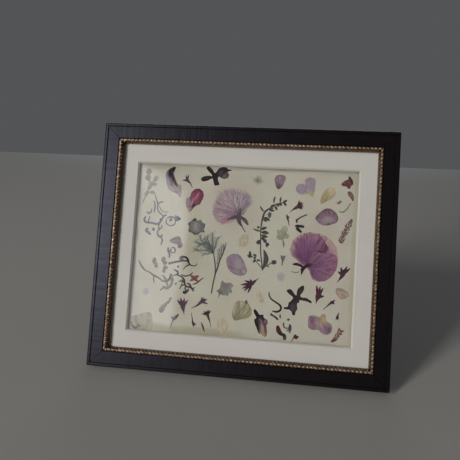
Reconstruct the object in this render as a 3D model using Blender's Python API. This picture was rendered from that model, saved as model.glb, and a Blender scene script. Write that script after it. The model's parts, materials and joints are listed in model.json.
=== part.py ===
"""Pressed flower frame, leaning back on its easel strut.

Every length below is in millimetres. The holder is drawn in the frame's own plane, where x runs right and
z up from the middle of the front face and y runs back into the frame, and one empty leans it back. The world
origin is under the middle of the whole object, on the surface that it stands on.
"""
import math

import bmesh
import bpy
from mathutils import Vector

MM = 0.001
GAP = 0.3

# ---------------------------------------------------------------- driving dimensions
FRAME_WIDTH = 286.0
FRAME_HEIGHT = 239.0
FRAME_DEPTH = 18.0
LEAN_DEG = 15.0

# rail section, measured inwards from the outer edge and back from the front face
ARRIS = 1.0
ARRIS_FLAT = 0.3
GROOVE_AT = 3.25
GROOVE_WIDTH = 0.9
GROOVE_DEPTH = 0.9
GROOVE_LIP = 0.4
GROOVE_LIP_DEPTH = 0.3
GROOVE_DRAFT = 0.15
FACE_DROP = 0.25
STRIP_SEAT_AT = 14.6
STRIP_SEAT_DEPTH = 4.5
LIP_AT = 17.4
REBATE_AT = 15.0
REBATE_DEPTH = 7.9

# beaded strip
SIGHT_AT = 19.0
BEAD_LINE_AT = 16.4
BEAD_PITCH = 3.7
BEAD_BASE_HALF = 1.45
BEAD_TOP_HALF = 0.7
BEAD_NECK_HALF = 0.4
BEAD_TOP_DEPTH = 0.3
BEAD_NECK_DEPTH = 1.3
BEAD_BASE_DEPTH = 1.6
# the inner slope's two bends: how far inwards from the beads, and how deep
SLOPE_BENDS = ((0.5, 3.4), (0.9, 5.4))

# what lies in the rebate, from front to back
MAT_THICKNESS = 1.7
GLASS_THICKNESS = 2.0
UPPER_LAYER = 0.2
LOWER_LAYER = 0.3
SHEET_THICKNESS = 0.8
BOARD_THICKNESS = 3.0

# window in the mat, from the frame's outer edges to the front of the bevel
WINDOW_SIDE = 33.9
WINDOW_TOP = 36.1
WINDOW_BOTTOM = 35.0

# strut and hinge
HINGE_HEIGHT = 168.0
HINGE_STAND_OFF = 4.0
STRUT_OFF_VERTICAL_DEG = 14.0
STRUT_THICKNESS = 3.5
STRUT_TOP_WIDTH = 32.0
STRUT_FOOT_WIDTH = 70.0
STRUT_TOP_AT = 3.0
STRUT_SHOULDER_OUT = 5.0
STRUT_SHOULDER_DROP = 6.0
STRUT_FOOT_STRAIGHT = 14.0
PIN_RADIUS = 1.0
PIN_END = 0.5
PIN_HOLE_RADIUS = 1.15
KNUCKLE_RADIUS = 2.4
KNUCKLE_END_GAP = 0.1
LEAF_THICKNESS = 1.0
LEAF_ROLL_SHARE = 0.7
BRACKET_HALF_WIDTH = 20.0
KNUCKLE_HALF_WIDTH = 10.0
BRACKET_RISE = 18.0
BRACKET_SKIRT = 0.2
LEAF_LENGTH = 24.0
HEEL_LENGTH = 2.7
HEEL_INSET = 1.2

# turn buttons
BUTTON_FROM_EDGE = 8.0
BUTTON_HEIGHT = 60.0
BUTTON_REACH = 17.0
BUTTON_HEEL = 5.0
BUTTON_WIDTH = 9.0
BUTTON_THICKNESS = 1.2
BUTTON_TIP_SHARE = 0.6
BUTTON_HOLE_RADIUS = 1.9
SCREW_RADIUS = 1.5
SCREW_POINT_SHARE = 0.4
SCREW_POINT_LENGTH = 1.5
SCREW_HEAD_RADIUS = 3.2
SCREW_HEAD_TOP_SHARE = 0.7
SCREW_HEAD_HEIGHT = 1.2
SCREW_LENGTH = 8.0
PILOT_RADIUS = 1.9
PILOT_SPARE = 0.6

# how far a hole's cutter reaches past the piece, and how many flats a round hole or pin has
CUT_PAST = 2.0
PIN_FLATS = 12
SCREW_FLATS = 10

# ---------------------------------------------------------------- worked-out places
HALF_WIDTH = FRAME_WIDTH / 2
HALF_HEIGHT = FRAME_HEIGHT / 2
LEAN = math.radians(LEAN_DEG)
STRUT_OFF_VERTICAL = math.radians(STRUT_OFF_VERTICAL_DEG)

MAT_FRONT = REBATE_DEPTH + GAP
GLASS_FRONT = MAT_FRONT + MAT_THICKNESS + GAP
UPPER_FRONT = GLASS_FRONT + GLASS_THICKNESS + GAP
LOWER_FRONT = UPPER_FRONT + UPPER_LAYER + GAP
SHEET_FRONT = LOWER_FRONT + LOWER_LAYER + GAP
BOARD_FRONT = SHEET_FRONT + SHEET_THICKNESS + GAP
BOARD_BACK = BOARD_FRONT + BOARD_THICKNESS

HINGE_DEPTH = BOARD_BACK + HINGE_STAND_OFF
HINGE_Z = HINGE_HEIGHT - HALF_HEIGHT

# height of the hinge above the surface, and how far it and the foot are behind the frame's lower edge
HINGE_UP = HINGE_HEIGHT * math.cos(LEAN) - (HINGE_DEPTH - FRAME_DEPTH) * math.sin(LEAN)
HINGE_BACK = HINGE_HEIGHT * math.sin(LEAN) + (HINGE_DEPTH - FRAME_DEPTH) * math.cos(LEAN)
FOOT_REAR = (
    HINGE_BACK
    + HINGE_UP * math.tan(STRUT_OFF_VERTICAL)
    + STRUT_THICKNESS / 2 / math.cos(STRUT_OFF_VERTICAL)
)

MATERIALS = {
    "dark_stained_wood": ((0.020, 0.014, 0.011), 0.38, 0.0),
    "gilt": ((0.18, 0.12, 0.07), 0.38, 0.7),
    "mat_board": ((0.72, 0.70, 0.64), 0.9, 0.0),
    "clear_glass": ((0.92, 0.95, 0.94), 0.03, 0.0),
    "cream_paper": ((0.68, 0.64, 0.50), 0.9, 0.0),
    "fibreboard": ((0.16, 0.10, 0.06), 0.75, 0.0),
    "hinge_steel": ((0.35, 0.35, 0.34), 0.4, 1.0),
    "brass": ((0.55, 0.38, 0.16), 0.35, 1.0),
    "lilac_petal": ((0.36, 0.25, 0.46), 0.8, 0.0),
    "magenta_petal": ((0.20, 0.04, 0.15), 0.8, 0.0),
    "dark_petal": ((0.02, 0.01, 0.02), 0.7, 0.0),
    "cream_petal": ((0.52, 0.42, 0.24), 0.85, 0.0),
    "olive_petal": ((0.24, 0.22, 0.10), 0.85, 0.0),
    "red_brown_petal": ((0.10, 0.02, 0.015), 0.8, 0.0),
    "dried_leaf": ((0.06, 0.08, 0.04), 0.85, 0.0),
    "grey_leaf": ((0.22, 0.24, 0.22), 0.85, 0.0),
}


# ---------------------------------------------------------------- small helpers
def material(name):
    found = bpy.data.materials.get(name)
    if found:
        return found
    colour, roughness, metallic = MATERIALS[name]
    made = bpy.data.materials.new(name)
    made.use_nodes = True
    shader = made.node_tree.nodes["Principled BSDF"]
    shader.inputs["Base Color"].default_value = (*colour, 1.0)
    shader.inputs["Roughness"].default_value = roughness
    shader.inputs["Metallic"].default_value = metallic
    made.diffuse_color = (*colour, 1.0)
    return made


def finish(name, bm, material_name, parent, place=(0.0, 0.0, 0.0), smooth=False):
    """Turns a mesh drawn in millimetres into an object under its parent, at a place in millimetres."""
    bmesh.ops.recalc_face_normals(bm, faces=bm.faces)
    bmesh.ops.scale(bm, vec=(MM, MM, MM), verts=bm.verts)
    mesh = bpy.data.meshes.new(name)
    bm.to_mesh(mesh)
    bm.free()
    if smooth:
        mesh.shade_smooth()
        mesh.set_sharp_from_angle(angle=math.radians(35))
    mesh.materials.append(material(material_name))
    made = bpy.data.objects.new(name, mesh)
    bpy.context.scene.collection.objects.link(made)
    made.parent = parent
    made.location = Vector(place) * MM
    return made


def empty(name, place, turn_deg, parent=None):
    made = bpy.data.objects.new(name, None)
    bpy.context.scene.collection.objects.link(made)
    made.parent = parent
    made.location = Vector(place) * MM
    made.rotation_euler = (math.radians(turn_deg), 0.0, 0.0)
    return made


def boolean(target, tool, operation):
    """Joins the tool to the target, or cuts it away. The tool is left as a hidden guide."""
    modifier = target.modifiers.new(tool.name, "BOOLEAN")
    modifier.operation = operation
    modifier.solver = "EXACT"
    modifier.object = tool
    tool.hide_render = True
    tool.display_type = "WIRE"


def prism(outlines, depths):
    """Closed body between two like outlines in x and z, each at its own depth."""
    bm = bmesh.new()
    rows = [
        [bm.verts.new((x, y, z)) for x, z in outline]
        for outline, y in zip(outlines, depths)
    ]
    near, far = rows
    count = len(near)
    for i in range(count):
        j = (i + 1) % count
        bm.faces.new((near[i], near[j], far[j], far[i]))
    bm.faces.new(near[::-1])
    bm.faces.new(far)
    return bm


def plate(outline, front, back):
    return prism((outline, outline), (front, back))


def rectangle(left, bottom, right, top):
    return [(left, bottom), (right, bottom), (right, top), (left, top)]


def bar_along_x(section, half_width, centre_x=0.0):
    """Closed body with a section in y and z, as long as twice half_width."""
    bm = bmesh.new()
    ends = [
        [bm.verts.new((centre_x + side * half_width, y, z)) for y, z in section]
        for side in (-1, 1)
    ]
    count = len(section)
    for i in range(count):
        j = (i + 1) % count
        bm.faces.new((ends[0][i], ends[0][j], ends[1][j], ends[1][i]))
    bm.faces.new(ends[0][::-1])
    bm.faces.new(ends[1])
    return bm


def arc(centre, radius, start_deg, end_deg, count):
    points = []
    for i in range(count):
        angle = math.radians(start_deg + (end_deg - start_deg) * i / (count - 1))
        points.append((centre[0] + radius * math.cos(angle), centre[1] + radius * math.sin(angle)))
    return points


def round_section(radius):
    """Section of a pin or of its hole."""
    half_flat = 180 / PIN_FLATS
    return arc((0.0, 0.0), radius, half_flat, 360 - half_flat, PIN_FLATS)


def turned(profile):
    """Closed body turned about the y axis from a profile of (radius, y), closed flat at both ends."""
    bm = bmesh.new()
    rings = []
    for radius, y in profile:
        ring = []
        for i in range(SCREW_FLATS):
            angle = math.tau * (i + 0.5) / SCREW_FLATS
            ring.append(bm.verts.new((radius * math.cos(angle), y, radius * math.sin(angle))))
        rings.append(ring)
    for lower, upper in zip(rings, rings[1:]):
        for i in range(SCREW_FLATS):
            j = (i + 1) % SCREW_FLATS
            bm.faces.new((lower[i], lower[j], upper[j], upper[i]))
    bm.faces.new(rings[0])
    bm.faces.new(rings[-1])
    return bm


# ---------------------------------------------------------------- rails and beaded strips
SIDES = {
    "top": (HALF_WIDTH, lambda along, inward: (along, HALF_HEIGHT - inward)),
    "bottom": (HALF_WIDTH, lambda along, inward: (along, inward - HALF_HEIGHT)),
    "left": (HALF_HEIGHT, lambda along, inward: (inward - HALF_WIDTH, along)),
    "right": (HALF_HEIGHT, lambda along, inward: (HALF_WIDTH - inward, along)),
}
MITRE_GAP = GAP / 2 * math.sqrt(2)


def rail_section():
    groove_end = GROOVE_AT + GROOVE_WIDTH
    return [
        (0.0, FRAME_DEPTH),
        (0.0, ARRIS),
        (ARRIS_FLAT, ARRIS_FLAT),
        (ARRIS, 0.0),
        (GROOVE_AT - GROOVE_LIP, 0.0),
        (GROOVE_AT, GROOVE_LIP_DEPTH),
        (GROOVE_AT + GROOVE_DRAFT, GROOVE_DEPTH),
        (groove_end - GROOVE_DRAFT, GROOVE_DEPTH),
        (groove_end, FACE_DROP),
        (STRIP_SEAT_AT, FACE_DROP),
        (STRIP_SEAT_AT, STRIP_SEAT_DEPTH),
        (LIP_AT, STRIP_SEAT_DEPTH),
        (LIP_AT, REBATE_DEPTH),
        (REBATE_AT, REBATE_DEPTH),
        (REBATE_AT, FRAME_DEPTH),
    ]


def front_most():
    """How far the leaning frame's front is behind its rear lower edge: less than nothing."""
    return min(
        inward * math.sin(LEAN) + (depth - FRAME_DEPTH) * math.cos(LEAN)
        for inward, depth in rail_section()
    )


def rail(side, parent):
    """One rail of the frame, cut at 45 degrees at both ends."""
    half, place = SIDES[side]
    bm = bmesh.new()
    ends = [[], []]
    for inward, depth in rail_section():
        reach = half - inward - MITRE_GAP
        for end, along in zip(ends, (-reach, reach)):
            x, z = place(along, inward)
            end.append(bm.verts.new((x, depth, z)))
    count = len(ends[0])
    for i in range(count):
        j = (i + 1) % count
        bm.faces.new((ends[0][i], ends[0][j], ends[1][j], ends[1][i]))
    bm.faces.new(ends[0][::-1])
    bm.faces.new(ends[1])
    return finish("rail_" + side, bm, "dark_stained_wood", parent)


def zip_rows(bm, row, other):
    """Triangles between two rows of points that run the same way, whatever their counts."""
    i = j = 0
    while i < len(row) - 1 or j < len(other) - 1:
        row_next = (i + 1) / max(len(row) - 1, 1)
        other_next = (j + 1) / max(len(other) - 1, 1)
        if j == len(other) - 1 or (i < len(row) - 1 and row_next <= other_next):
            bm.faces.new((row[i], row[i + 1], other[j]))
            i += 1
        else:
            bm.faces.new((row[i], other[j + 1], other[j]))
            j += 1


def beaded_strip(side, parent):
    """Gilt strip with a row of beads and an inner slope down to the mat, mitred at both ends."""
    half, place = SIDES[side]
    run = half - BEAD_LINE_AT
    beads = round(2 * run / BEAD_PITCH)
    pitch = 2 * run / beads
    back = STRIP_SEAT_DEPTH - GAP
    outer = BEAD_LINE_AT - BEAD_BASE_HALF
    inner = BEAD_LINE_AT + BEAD_BASE_HALF
    skirt = LIP_AT + GAP
    tip_depth = REBATE_DEPTH - GAP

    bm = bmesh.new()

    def point(along, inward, depth):
        x, z = place(along, inward)
        return bm.verts.new((x, depth, z))

    def straight_row(inward, depth):
        reach = half - inward - MITRE_GAP
        return [point(-reach, inward, depth), point(reach, inward, depth)]

    def bead_row(side_sign, neck_half, top_half, neck_depth, top_depth):
        row = []
        for step in range(2 * beads + 1):
            on_bead = step % 2 == 1
            inward = BEAD_LINE_AT + side_sign * (top_half if on_bead else neck_half)
            depth = top_depth if on_bead else neck_depth
            along = -run + pitch * step / 2
            if step in (0, 2 * beads):
                along = math.copysign(half - inward - MITRE_GAP, along)
            row.append(point(along, inward, depth))
        return row

    base = (BEAD_BASE_HALF, BEAD_BASE_HALF, BEAD_BASE_DEPTH, BEAD_BASE_DEPTH)
    crest = (BEAD_NECK_HALF, BEAD_TOP_HALF, BEAD_NECK_DEPTH, BEAD_TOP_DEPTH)
    rows = [
        straight_row(outer, back),
        bead_row(-1, *base),
        bead_row(-1, *crest),
        bead_row(1, *crest),
        bead_row(1, *base),
        *[straight_row(inner + further, depth) for further, depth in SLOPE_BENDS],
        straight_row(SIGHT_AT, tip_depth),
        straight_row(skirt, tip_depth),
        straight_row(skirt, back),
    ]
    for row, following in zip(rows, rows[1:] + rows[:1]):
        zip_rows(bm, row, following)
    bm.faces.new([row[0] for row in rows])
    bm.faces.new([row[-1] for row in rows])
    return finish("bead_strip_" + side, bm, "gilt", parent)


# ---------------------------------------------------------------- what lies in the rebate
INSERT = rectangle(
    REBATE_AT + GAP - HALF_WIDTH,
    REBATE_AT + GAP - HALF_HEIGHT,
    HALF_WIDTH - REBATE_AT - GAP,
    HALF_HEIGHT - REBATE_AT - GAP,
)


def window_mat(parent):
    """Board with a window whose edge is cut at 45 degrees, wider at the front."""
    def window(grow):
        return rectangle(
            WINDOW_SIDE - HALF_WIDTH - grow,
            WINDOW_BOTTOM - HALF_HEIGHT - grow,
            HALF_WIDTH - WINDOW_SIDE + grow,
            HALF_HEIGHT - WINDOW_TOP + grow,
        )

    back = MAT_FRONT + MAT_THICKNESS
    loops = (
        (INSERT, MAT_FRONT),
        (window(0.0), MAT_FRONT),
        (window(-MAT_THICKNESS), back),
        (INSERT, back),
    )
    bm = bmesh.new()
    rows = [[bm.verts.new((x, y, z)) for x, z in outline] for outline, y in loops]
    for row, following in zip(rows, rows[1:] + rows[:1]):
        for i in range(4):
            j = (i + 1) % 4
            bm.faces.new((row[i], row[j], following[j], following[i]))
    return finish("window_mat", bm, "mat_board", parent)


def insert_plate(name, front, thickness, material_name, parent):
    return finish(name, plate(INSERT, front, front + thickness), material_name, parent)


# ---------------------------------------------------------------- strut, hinge and buttons
def hinge_bracket(parent):
    """Plate on the back board with two knuckles that hold the pin."""
    plate_front = GAP - HINGE_STAND_OFF
    plate_back = plate_front + LEAF_THICKNESS
    axis = (0.0, HINGE_DEPTH, HINGE_Z)
    base = bar_along_x(
        rectangle(plate_front, -KNUCKLE_RADIUS - BRACKET_SKIRT, plate_back, BRACKET_RISE),
        BRACKET_HALF_WIDTH,
    )
    bracket = finish("hinge_bracket", base, "hinge_steel", parent, axis)
    ear_half = (BRACKET_HALF_WIDTH - KNUCKLE_HALF_WIDTH - GAP) / 2
    ear_section = [
        (plate_back - LEAF_THICKNESS / 2, KNUCKLE_RADIUS),
        (plate_back - LEAF_THICKNESS / 2, -KNUCKLE_RADIUS),
        *arc((0.0, 0.0), KNUCKLE_RADIUS, -90, 90, 7),
    ]
    for sign, word in ((-1, "left"), (1, "right")):
        ear_x = sign * (BRACKET_HALF_WIDTH - ear_half - KNUCKLE_END_GAP)
        ear = finish(
            "guide_knuckle_" + word,
            bar_along_x(ear_section, ear_half - KNUCKLE_END_GAP, ear_x),
            "hinge_steel", parent, axis,
        )
        boolean(bracket, ear, "UNION")
    hole = finish(
        "guide_bracket_hole",
        bar_along_x(round_section(PIN_HOLE_RADIUS), BRACKET_HALF_WIDTH + CUT_PAST),
        "hinge_steel", parent, axis,
    )
    boolean(bracket, hole, "DIFFERENCE")


def hinge_pin(parent):
    finish(
        "hinge_pin",
        bar_along_x(round_section(PIN_RADIUS), BRACKET_HALF_WIDTH + PIN_END),
        "hinge_steel", parent, (0.0, HINGE_DEPTH, HINGE_Z),
    )


def hinge_leaf(pivot):
    """Leaf behind the strut, rolled round the pin, with a heel that stops against the bracket."""
    inner = STRUT_THICKNESS / 2 + GAP
    outer = inner + LEAF_THICKNESS
    section = [
        (inner, -LEAF_LENGTH),
        (outer, -LEAF_LENGTH),
        (outer, BRACKET_SKIRT),
        (KNUCKLE_RADIUS * LEAF_ROLL_SHARE, KNUCKLE_RADIUS * LEAF_ROLL_SHARE),
        (0.0, KNUCKLE_RADIUS),
        (0.0, HEEL_LENGTH),
        (-HEEL_INSET, HEEL_LENGTH),
        *arc((0.0, 0.0), KNUCKLE_RADIUS, 120, 330, 8),
    ]
    leaf = finish("hinge_leaf", bar_along_x(section, KNUCKLE_HALF_WIDTH), "hinge_steel", pivot)
    hole = finish(
        "guide_leaf_hole",
        bar_along_x(round_section(PIN_HOLE_RADIUS), KNUCKLE_HALF_WIDTH + CUT_PAST),
        "hinge_steel", pivot,
    )
    boolean(leaf, hole, "DIFFERENCE")


def easel_strut(pivot):
    """Tapered board whose foot is cut to lie flat on the surface."""
    half_top = STRUT_TOP_WIDTH / 2
    half_foot = STRUT_FOOT_WIDTH / 2

    def outline(depth):
        foot_z = -(HINGE_UP + depth * math.sin(STRUT_OFF_VERTICAL)) / math.cos(STRUT_OFF_VERTICAL)
        return [
            (-half_foot, foot_z),
            (half_foot, foot_z),
            (half_foot, foot_z + STRUT_FOOT_STRAIGHT),
            (half_top + STRUT_SHOULDER_OUT, -STRUT_TOP_AT - STRUT_SHOULDER_DROP),
            (half_top, -STRUT_TOP_AT),
            (-half_top, -STRUT_TOP_AT),
            (-half_top - STRUT_SHOULDER_OUT, -STRUT_TOP_AT - STRUT_SHOULDER_DROP),
            (-half_foot, foot_z + STRUT_FOOT_STRAIGHT),
        ]

    depths = (-STRUT_THICKNESS / 2, STRUT_THICKNESS / 2)
    bm = prism([outline(depth) for depth in depths], depths)
    finish("easel_strut", bm, "fibreboard", pivot)


def turn_button(name, sign, z, parent):
    """Tapered brass button that swivels on its screw and laps over the back board."""
    half = BUTTON_WIDTH / 2
    tip = half * BUTTON_TIP_SHARE
    inwards = -sign
    shape = [
        *arc((0.0, 0.0), BUTTON_HEEL, 115, 245, 6),
        *arc((BUTTON_REACH - tip, 0.0), tip, -80, 80, 5),
    ]
    outline = [(inwards * x, y) for x, y in shape]
    front = FRAME_DEPTH + GAP
    place = (sign * (HALF_WIDTH - BUTTON_FROM_EDGE), front, z)
    button = finish(name, plate(outline, 0.0, BUTTON_THICKNESS), "brass", parent, place)
    hole = finish(
        "guide_hole_" + name,
        turned([(BUTTON_HOLE_RADIUS, -CUT_PAST), (BUTTON_HOLE_RADIUS, BUTTON_THICKNESS + CUT_PAST)]),
        "brass", parent, place,
    )
    boolean(button, hole, "DIFFERENCE")


def button_screw(name, sign, z, parent):
    head_front = FRAME_DEPTH + 2 * GAP + BUTTON_THICKNESS
    profile = [
        (SCREW_RADIUS * SCREW_POINT_SHARE, head_front - SCREW_LENGTH),
        (SCREW_RADIUS, head_front - SCREW_LENGTH + SCREW_POINT_LENGTH),
        (SCREW_RADIUS, head_front),
        (SCREW_HEAD_RADIUS, head_front),
        (SCREW_HEAD_RADIUS * SCREW_HEAD_TOP_SHARE, head_front + SCREW_HEAD_HEIGHT),
    ]
    place = (sign * (HALF_WIDTH - BUTTON_FROM_EDGE), 0.0, z)
    finish(name, turned(profile), "hinge_steel", parent, place, smooth=True)


def pilot_hole(rail_object, name, sign, z, parent):
    """Hole in a rail for one screw, a little longer than the screw."""
    bottom = FRAME_DEPTH + 2 * GAP + BUTTON_THICKNESS - SCREW_LENGTH - PILOT_SPARE
    hole = finish(
        "guide_pilot_" + name,
        turned([(PILOT_RADIUS, bottom), (PILOT_RADIUS, FRAME_DEPTH + CUT_PAST)]),
        "dark_stained_wood", parent,
        (sign * (HALF_WIDTH - BUTTON_FROM_EDGE), 0.0, z),
    )
    boolean(rail_object, hole, "DIFFERENCE")


# ---------------------------------------------------------------- outlines of pressed specimens
def rounded(points):
    """The same closed outline with one more point on the curve between each two."""
    smooth = []
    count = len(points)
    for i in range(count):
        before, here, after, beyond = (Vector(points[(i + k) % count]) for k in (-1, 0, 1, 2))
        middle = (9 * (here + after) - before - beyond) / 16
        smooth.append(tuple(here))
        smooth.append(tuple(middle))
    return smooth


def walk(branch, first=0):
    """Outline of a branch: up its left side, round its tip and down its right side.

    A branch is (spine, widths, twigs): points along its middle, its half widths there, and a list of
    (index on the spine, side, branch) with side 1 on its left and -1 on its right.
    """
    spine, widths, twigs = branch
    edges = {1: [], -1: []}
    for i in range(first, len(spine)):
        here = Vector(spine[i])
        along = (Vector(spine[min(i + 1, len(spine) - 1)]) - Vector(spine[max(i - 1, 0)])).normalized()
        across = Vector((-along.y, along.x))
        for side in (1, -1):
            edge = here + across * side * widths[i]
            grown = [twig for index, twig_side, twig in twigs if index == i and twig_side == side]
            if not grown:
                edges[side].append(tuple(edge))
                continue
            foot = along * grown[0][1][0]
            outline = walk(grown[0], first=1)
            if side == -1:
                outline = outline[::-1]
            edges[side] += [tuple(edge - foot), *outline, tuple(edge + foot)]
    return edges[1] + edges[-1][::-1]


def leaf(base, tip, width):
    """Small leaf from its base to its tip, widest past its middle."""
    start, end = Vector(base), Vector(tip)
    spine = [tuple(start.lerp(end, share)) for share in (0.0, 0.3, 0.65, 1.0)]
    return (spine, [width * 0.16, width * 0.42, width * 0.5, width * 0.08], [])


PETALS = {
    "folded_petal": ("lilac_petal", [
        (-73.5, 80.2), (-71.5, 78.8), (-73.0, 74.5), (-71.5, 69.0), (-68.5, 63.3), (-65.0, 61.5),
        (-64.2, 56.0), (-65.0, 49.5), (-68.0, 53.0), (-73.0, 55.0), (-77.5, 58.0), (-80.0, 65.0),
        (-81.2, 71.5), (-80.0, 76.0)]),
    "crimson_petal": ("magenta_petal", [
        (-55.5, 35.5), (-58.0, 42.0), (-59.0, 48.5), (-55.5, 50.5), (-54.0, 55.0), (-50.5, 58.5),
        (-46.0, 59.0), (-42.3, 56.0), (-41.8, 50.5), (-44.5, 44.5), (-49.0, 42.0), (-52.5, 37.5)]),
    "lilac_flower_petals": ("lilac_petal", [
        (-7.0, 32.5), (-13.0, 30.0), (-16.0, 26.5), (-22.0, 25.0), (-28.0, 27.5), (-32.0, 33.0),
        (-33.5, 41.0), (-32.0, 48.5), (-29.0, 54.5), (-24.0, 59.5), (-17.0, 62.0), (-11.0, 63.5),
        (-5.0, 63.0), (1.0, 60.5), (5.0, 56.5), (7.0, 50.0), (5.0, 43.0), (1.0, 38.0), (-2.5, 34.5)]),
    "round_purple_petal": ("magenta_petal", [
        (31.5, 62.3), (35.0, 65.0), (37.5, 70.0), (38.0, 75.0), (34.5, 76.5), (30.0, 76.2),
        (27.5, 72.5), (28.5, 66.5)]),
    "lilac_viola_petals": ("lilac_petal", [
        (64.8, 56.6), (61.0, 58.8), (53.5, 58.5), (49.0, 61.5), (49.0, 66.5), (53.5, 69.0), (57.0, 68.0),
        (56.6, 72.5), (60.0, 75.0), (65.5, 74.5), (67.2, 70.0), (66.3, 62.0)]),
    "cream_teardrop_petal": ("cream_petal", [
        (73.0, 50.0), (73.0, 56.0), (75.5, 62.5), (80.5, 66.5), (85.0, 65.3), (86.5, 61.0),
        (84.0, 56.0), (78.5, 52.8)]),
    "dark_purple_fan_petal": ("magenta_petal", [
        (68.5, 36.5), (71.5, 40.5), (75.5, 44.5), (81.0, 46.0), (86.5, 43.5), (90.0, 38.5),
        (89.0, 33.5), (84.0, 31.0), (80.5, 29.8), (75.0, 30.2), (71.0, 33.0)]),
    "magenta_flower_petals": ("magenta_petal", [
        (62.0, -11.5), (57.5, -8.5), (52.0, -4.0), (47.5, 0.0), (46.5, 6.0), (48.5, 12.5), (52.0, 17.5),
        (58.0, 21.0), (65.0, 22.3), (72.0, 21.8), (79.0, 19.5), (85.0, 15.5), (90.0, 9.0), (91.7, 1.5),
        (91.5, -6.5), (89.0, -14.5), (84.5, -20.5), (78.5, -23.5), (72.5, -24.0), (68.0, -21.0),
        (66.0, -15.5)]),
    "purple_oval_petal": ("lilac_petal", [
        (-14.5, -10.0), (-13.0, -5.5), (-8.0, -3.0), (-2.5, -3.7), (1.5, -8.0), (4.0, -13.0),
        (6.0, -18.5), (4.0, -22.5), (-1.5, -23.5), (-7.5, -21.8), (-12.5, -17.0)]),
    "olive_shell_petal": ("olive_petal", [
        (-2.5, -48.8), (1.5, -47.6), (5.5, -48.0), (7.5, -46.2), (9.3, -49.5), (12.5, -54.0),
        (13.3, -59.5), (9.5, -63.7), (3.5, -65.2), (-2.5, -66.8), (-5.5, -62.5), (-5.5, -56.0)]),
    "beige_petal": ("cream_petal", [
        (92.3, -29.0), (97.0, -29.3), (102.3, -31.8), (104.0, -35.0), (101.0, -38.0), (97.0, -39.3),
        (93.5, -36.8), (91.3, -32.5)]),
    "purple_viola_petals": ("magenta_petal", [
        (68.0, -57.0), (73.0, -56.3), (78.0, -57.2), (79.5, -54.6), (83.0, -55.0), (84.5, -60.5),
        (88.5, -63.2), (90.0, -67.5), (88.0, -72.0), (83.5, -73.6), (79.5, -71.5), (77.0, -69.3),
        (72.5, -70.0), (67.8, -67.8), (67.0, -62.0)]),
    "translucent_petal": ("olive_petal", [
        (-105.0, -71.5), (-99.0, -68.3), (-92.0, -66.0), (-86.5, -65.5), (-84.2, -71.0), (-83.5, -78.0),
        (-85.0, -83.0), (-93.0, -84.0), (-101.0, -83.5), (-106.0, -80.5)]),
    "grey_purple_rosette": ("grey_leaf", [
        (-48.5, 30.2), (-46.5, 28.0), (-42.5, 28.3), (-41.5, 25.5), (-38.0, 24.0), (-38.8, 20.0),
        (-38.5, 17.0), (-42.0, 16.5), (-44.5, 14.5), (-48.5, 13.3), (-50.5, 15.5), (-54.0, 16.0),
        (-53.5, 20.0), (-55.5, 24.0), (-52.5, 26.5), (-51.0, 28.5)]),
    "pale_clover_leaf": ("grey_leaf", [
        (39.5, 14.3), (40.8, 9.0), (40.2, 6.0), (39.2, 8.5), (38.0, 13.5), (35.0, 13.3), (32.5, 16.0),
        (33.5, 19.0), (33.0, 22.5), (36.5, 23.5), (38.0, 26.6), (41.5, 26.5), (43.0, 23.0), (41.6, 20.5),
        (44.2, 18.5), (44.0, 15.6), (41.5, 15.0)]),
    "grey_clover_leaf": ("grey_leaf", [
        (-17.5, -29.5), (-14.5, -31.5), (-9.0, -31.0), (-6.2, -34.0), (-8.5, -36.5), (-6.5, -40.8),
        (-10.3, -40.5), (-10.8, -43.5), (-16.0, -43.5), (-18.3, -42.8), (-20.5, -47.5), (-20.0, -42.0),
        (-22.2, -39.8), (-19.5, -37.8), (-18.6, -34.0)]),
    "red_brown_spike": ("red_brown_petal", [
        (92.5, 14.0), (96.0, 16.0), (99.0, 20.5), (101.0, 28.0), (103.5, 36.3), (101.5, 36.8),
        (98.0, 31.0), (94.0, 26.0), (92.0, 20.0), (91.0, 16.0)]),
    "small_red_spike": ("red_brown_petal", [
        (88.8, -79.5), (90.8, -80.2), (93.5, -77.0), (97.0, -74.0), (99.5, -69.0), (98.0, -66.4),
        (94.8, -67.6), (93.0, -72.0), (90.5, -76.0)]),
    "pink_spike": ("lilac_petal", [
        (-66.6, -49.4), (-70.5, -51.0), (-75.0, -54.0), (-78.0, -59.0), (-77.8, -63.5), (-76.0, -65.2),
        (-72.5, -61.5), (-70.0, -55.0)]),
    "red_bud": ("red_brown_petal", [
        (38.5, -68.0), (41.0, -70.0), (43.3, -74.5), (46.8, -76.3), (47.6, -80.8), (45.0, -81.5),
        (44.0, -78.3), (41.0, -77.5), (38.2, -74.5), (37.3, -70.5)]),
}

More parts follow.
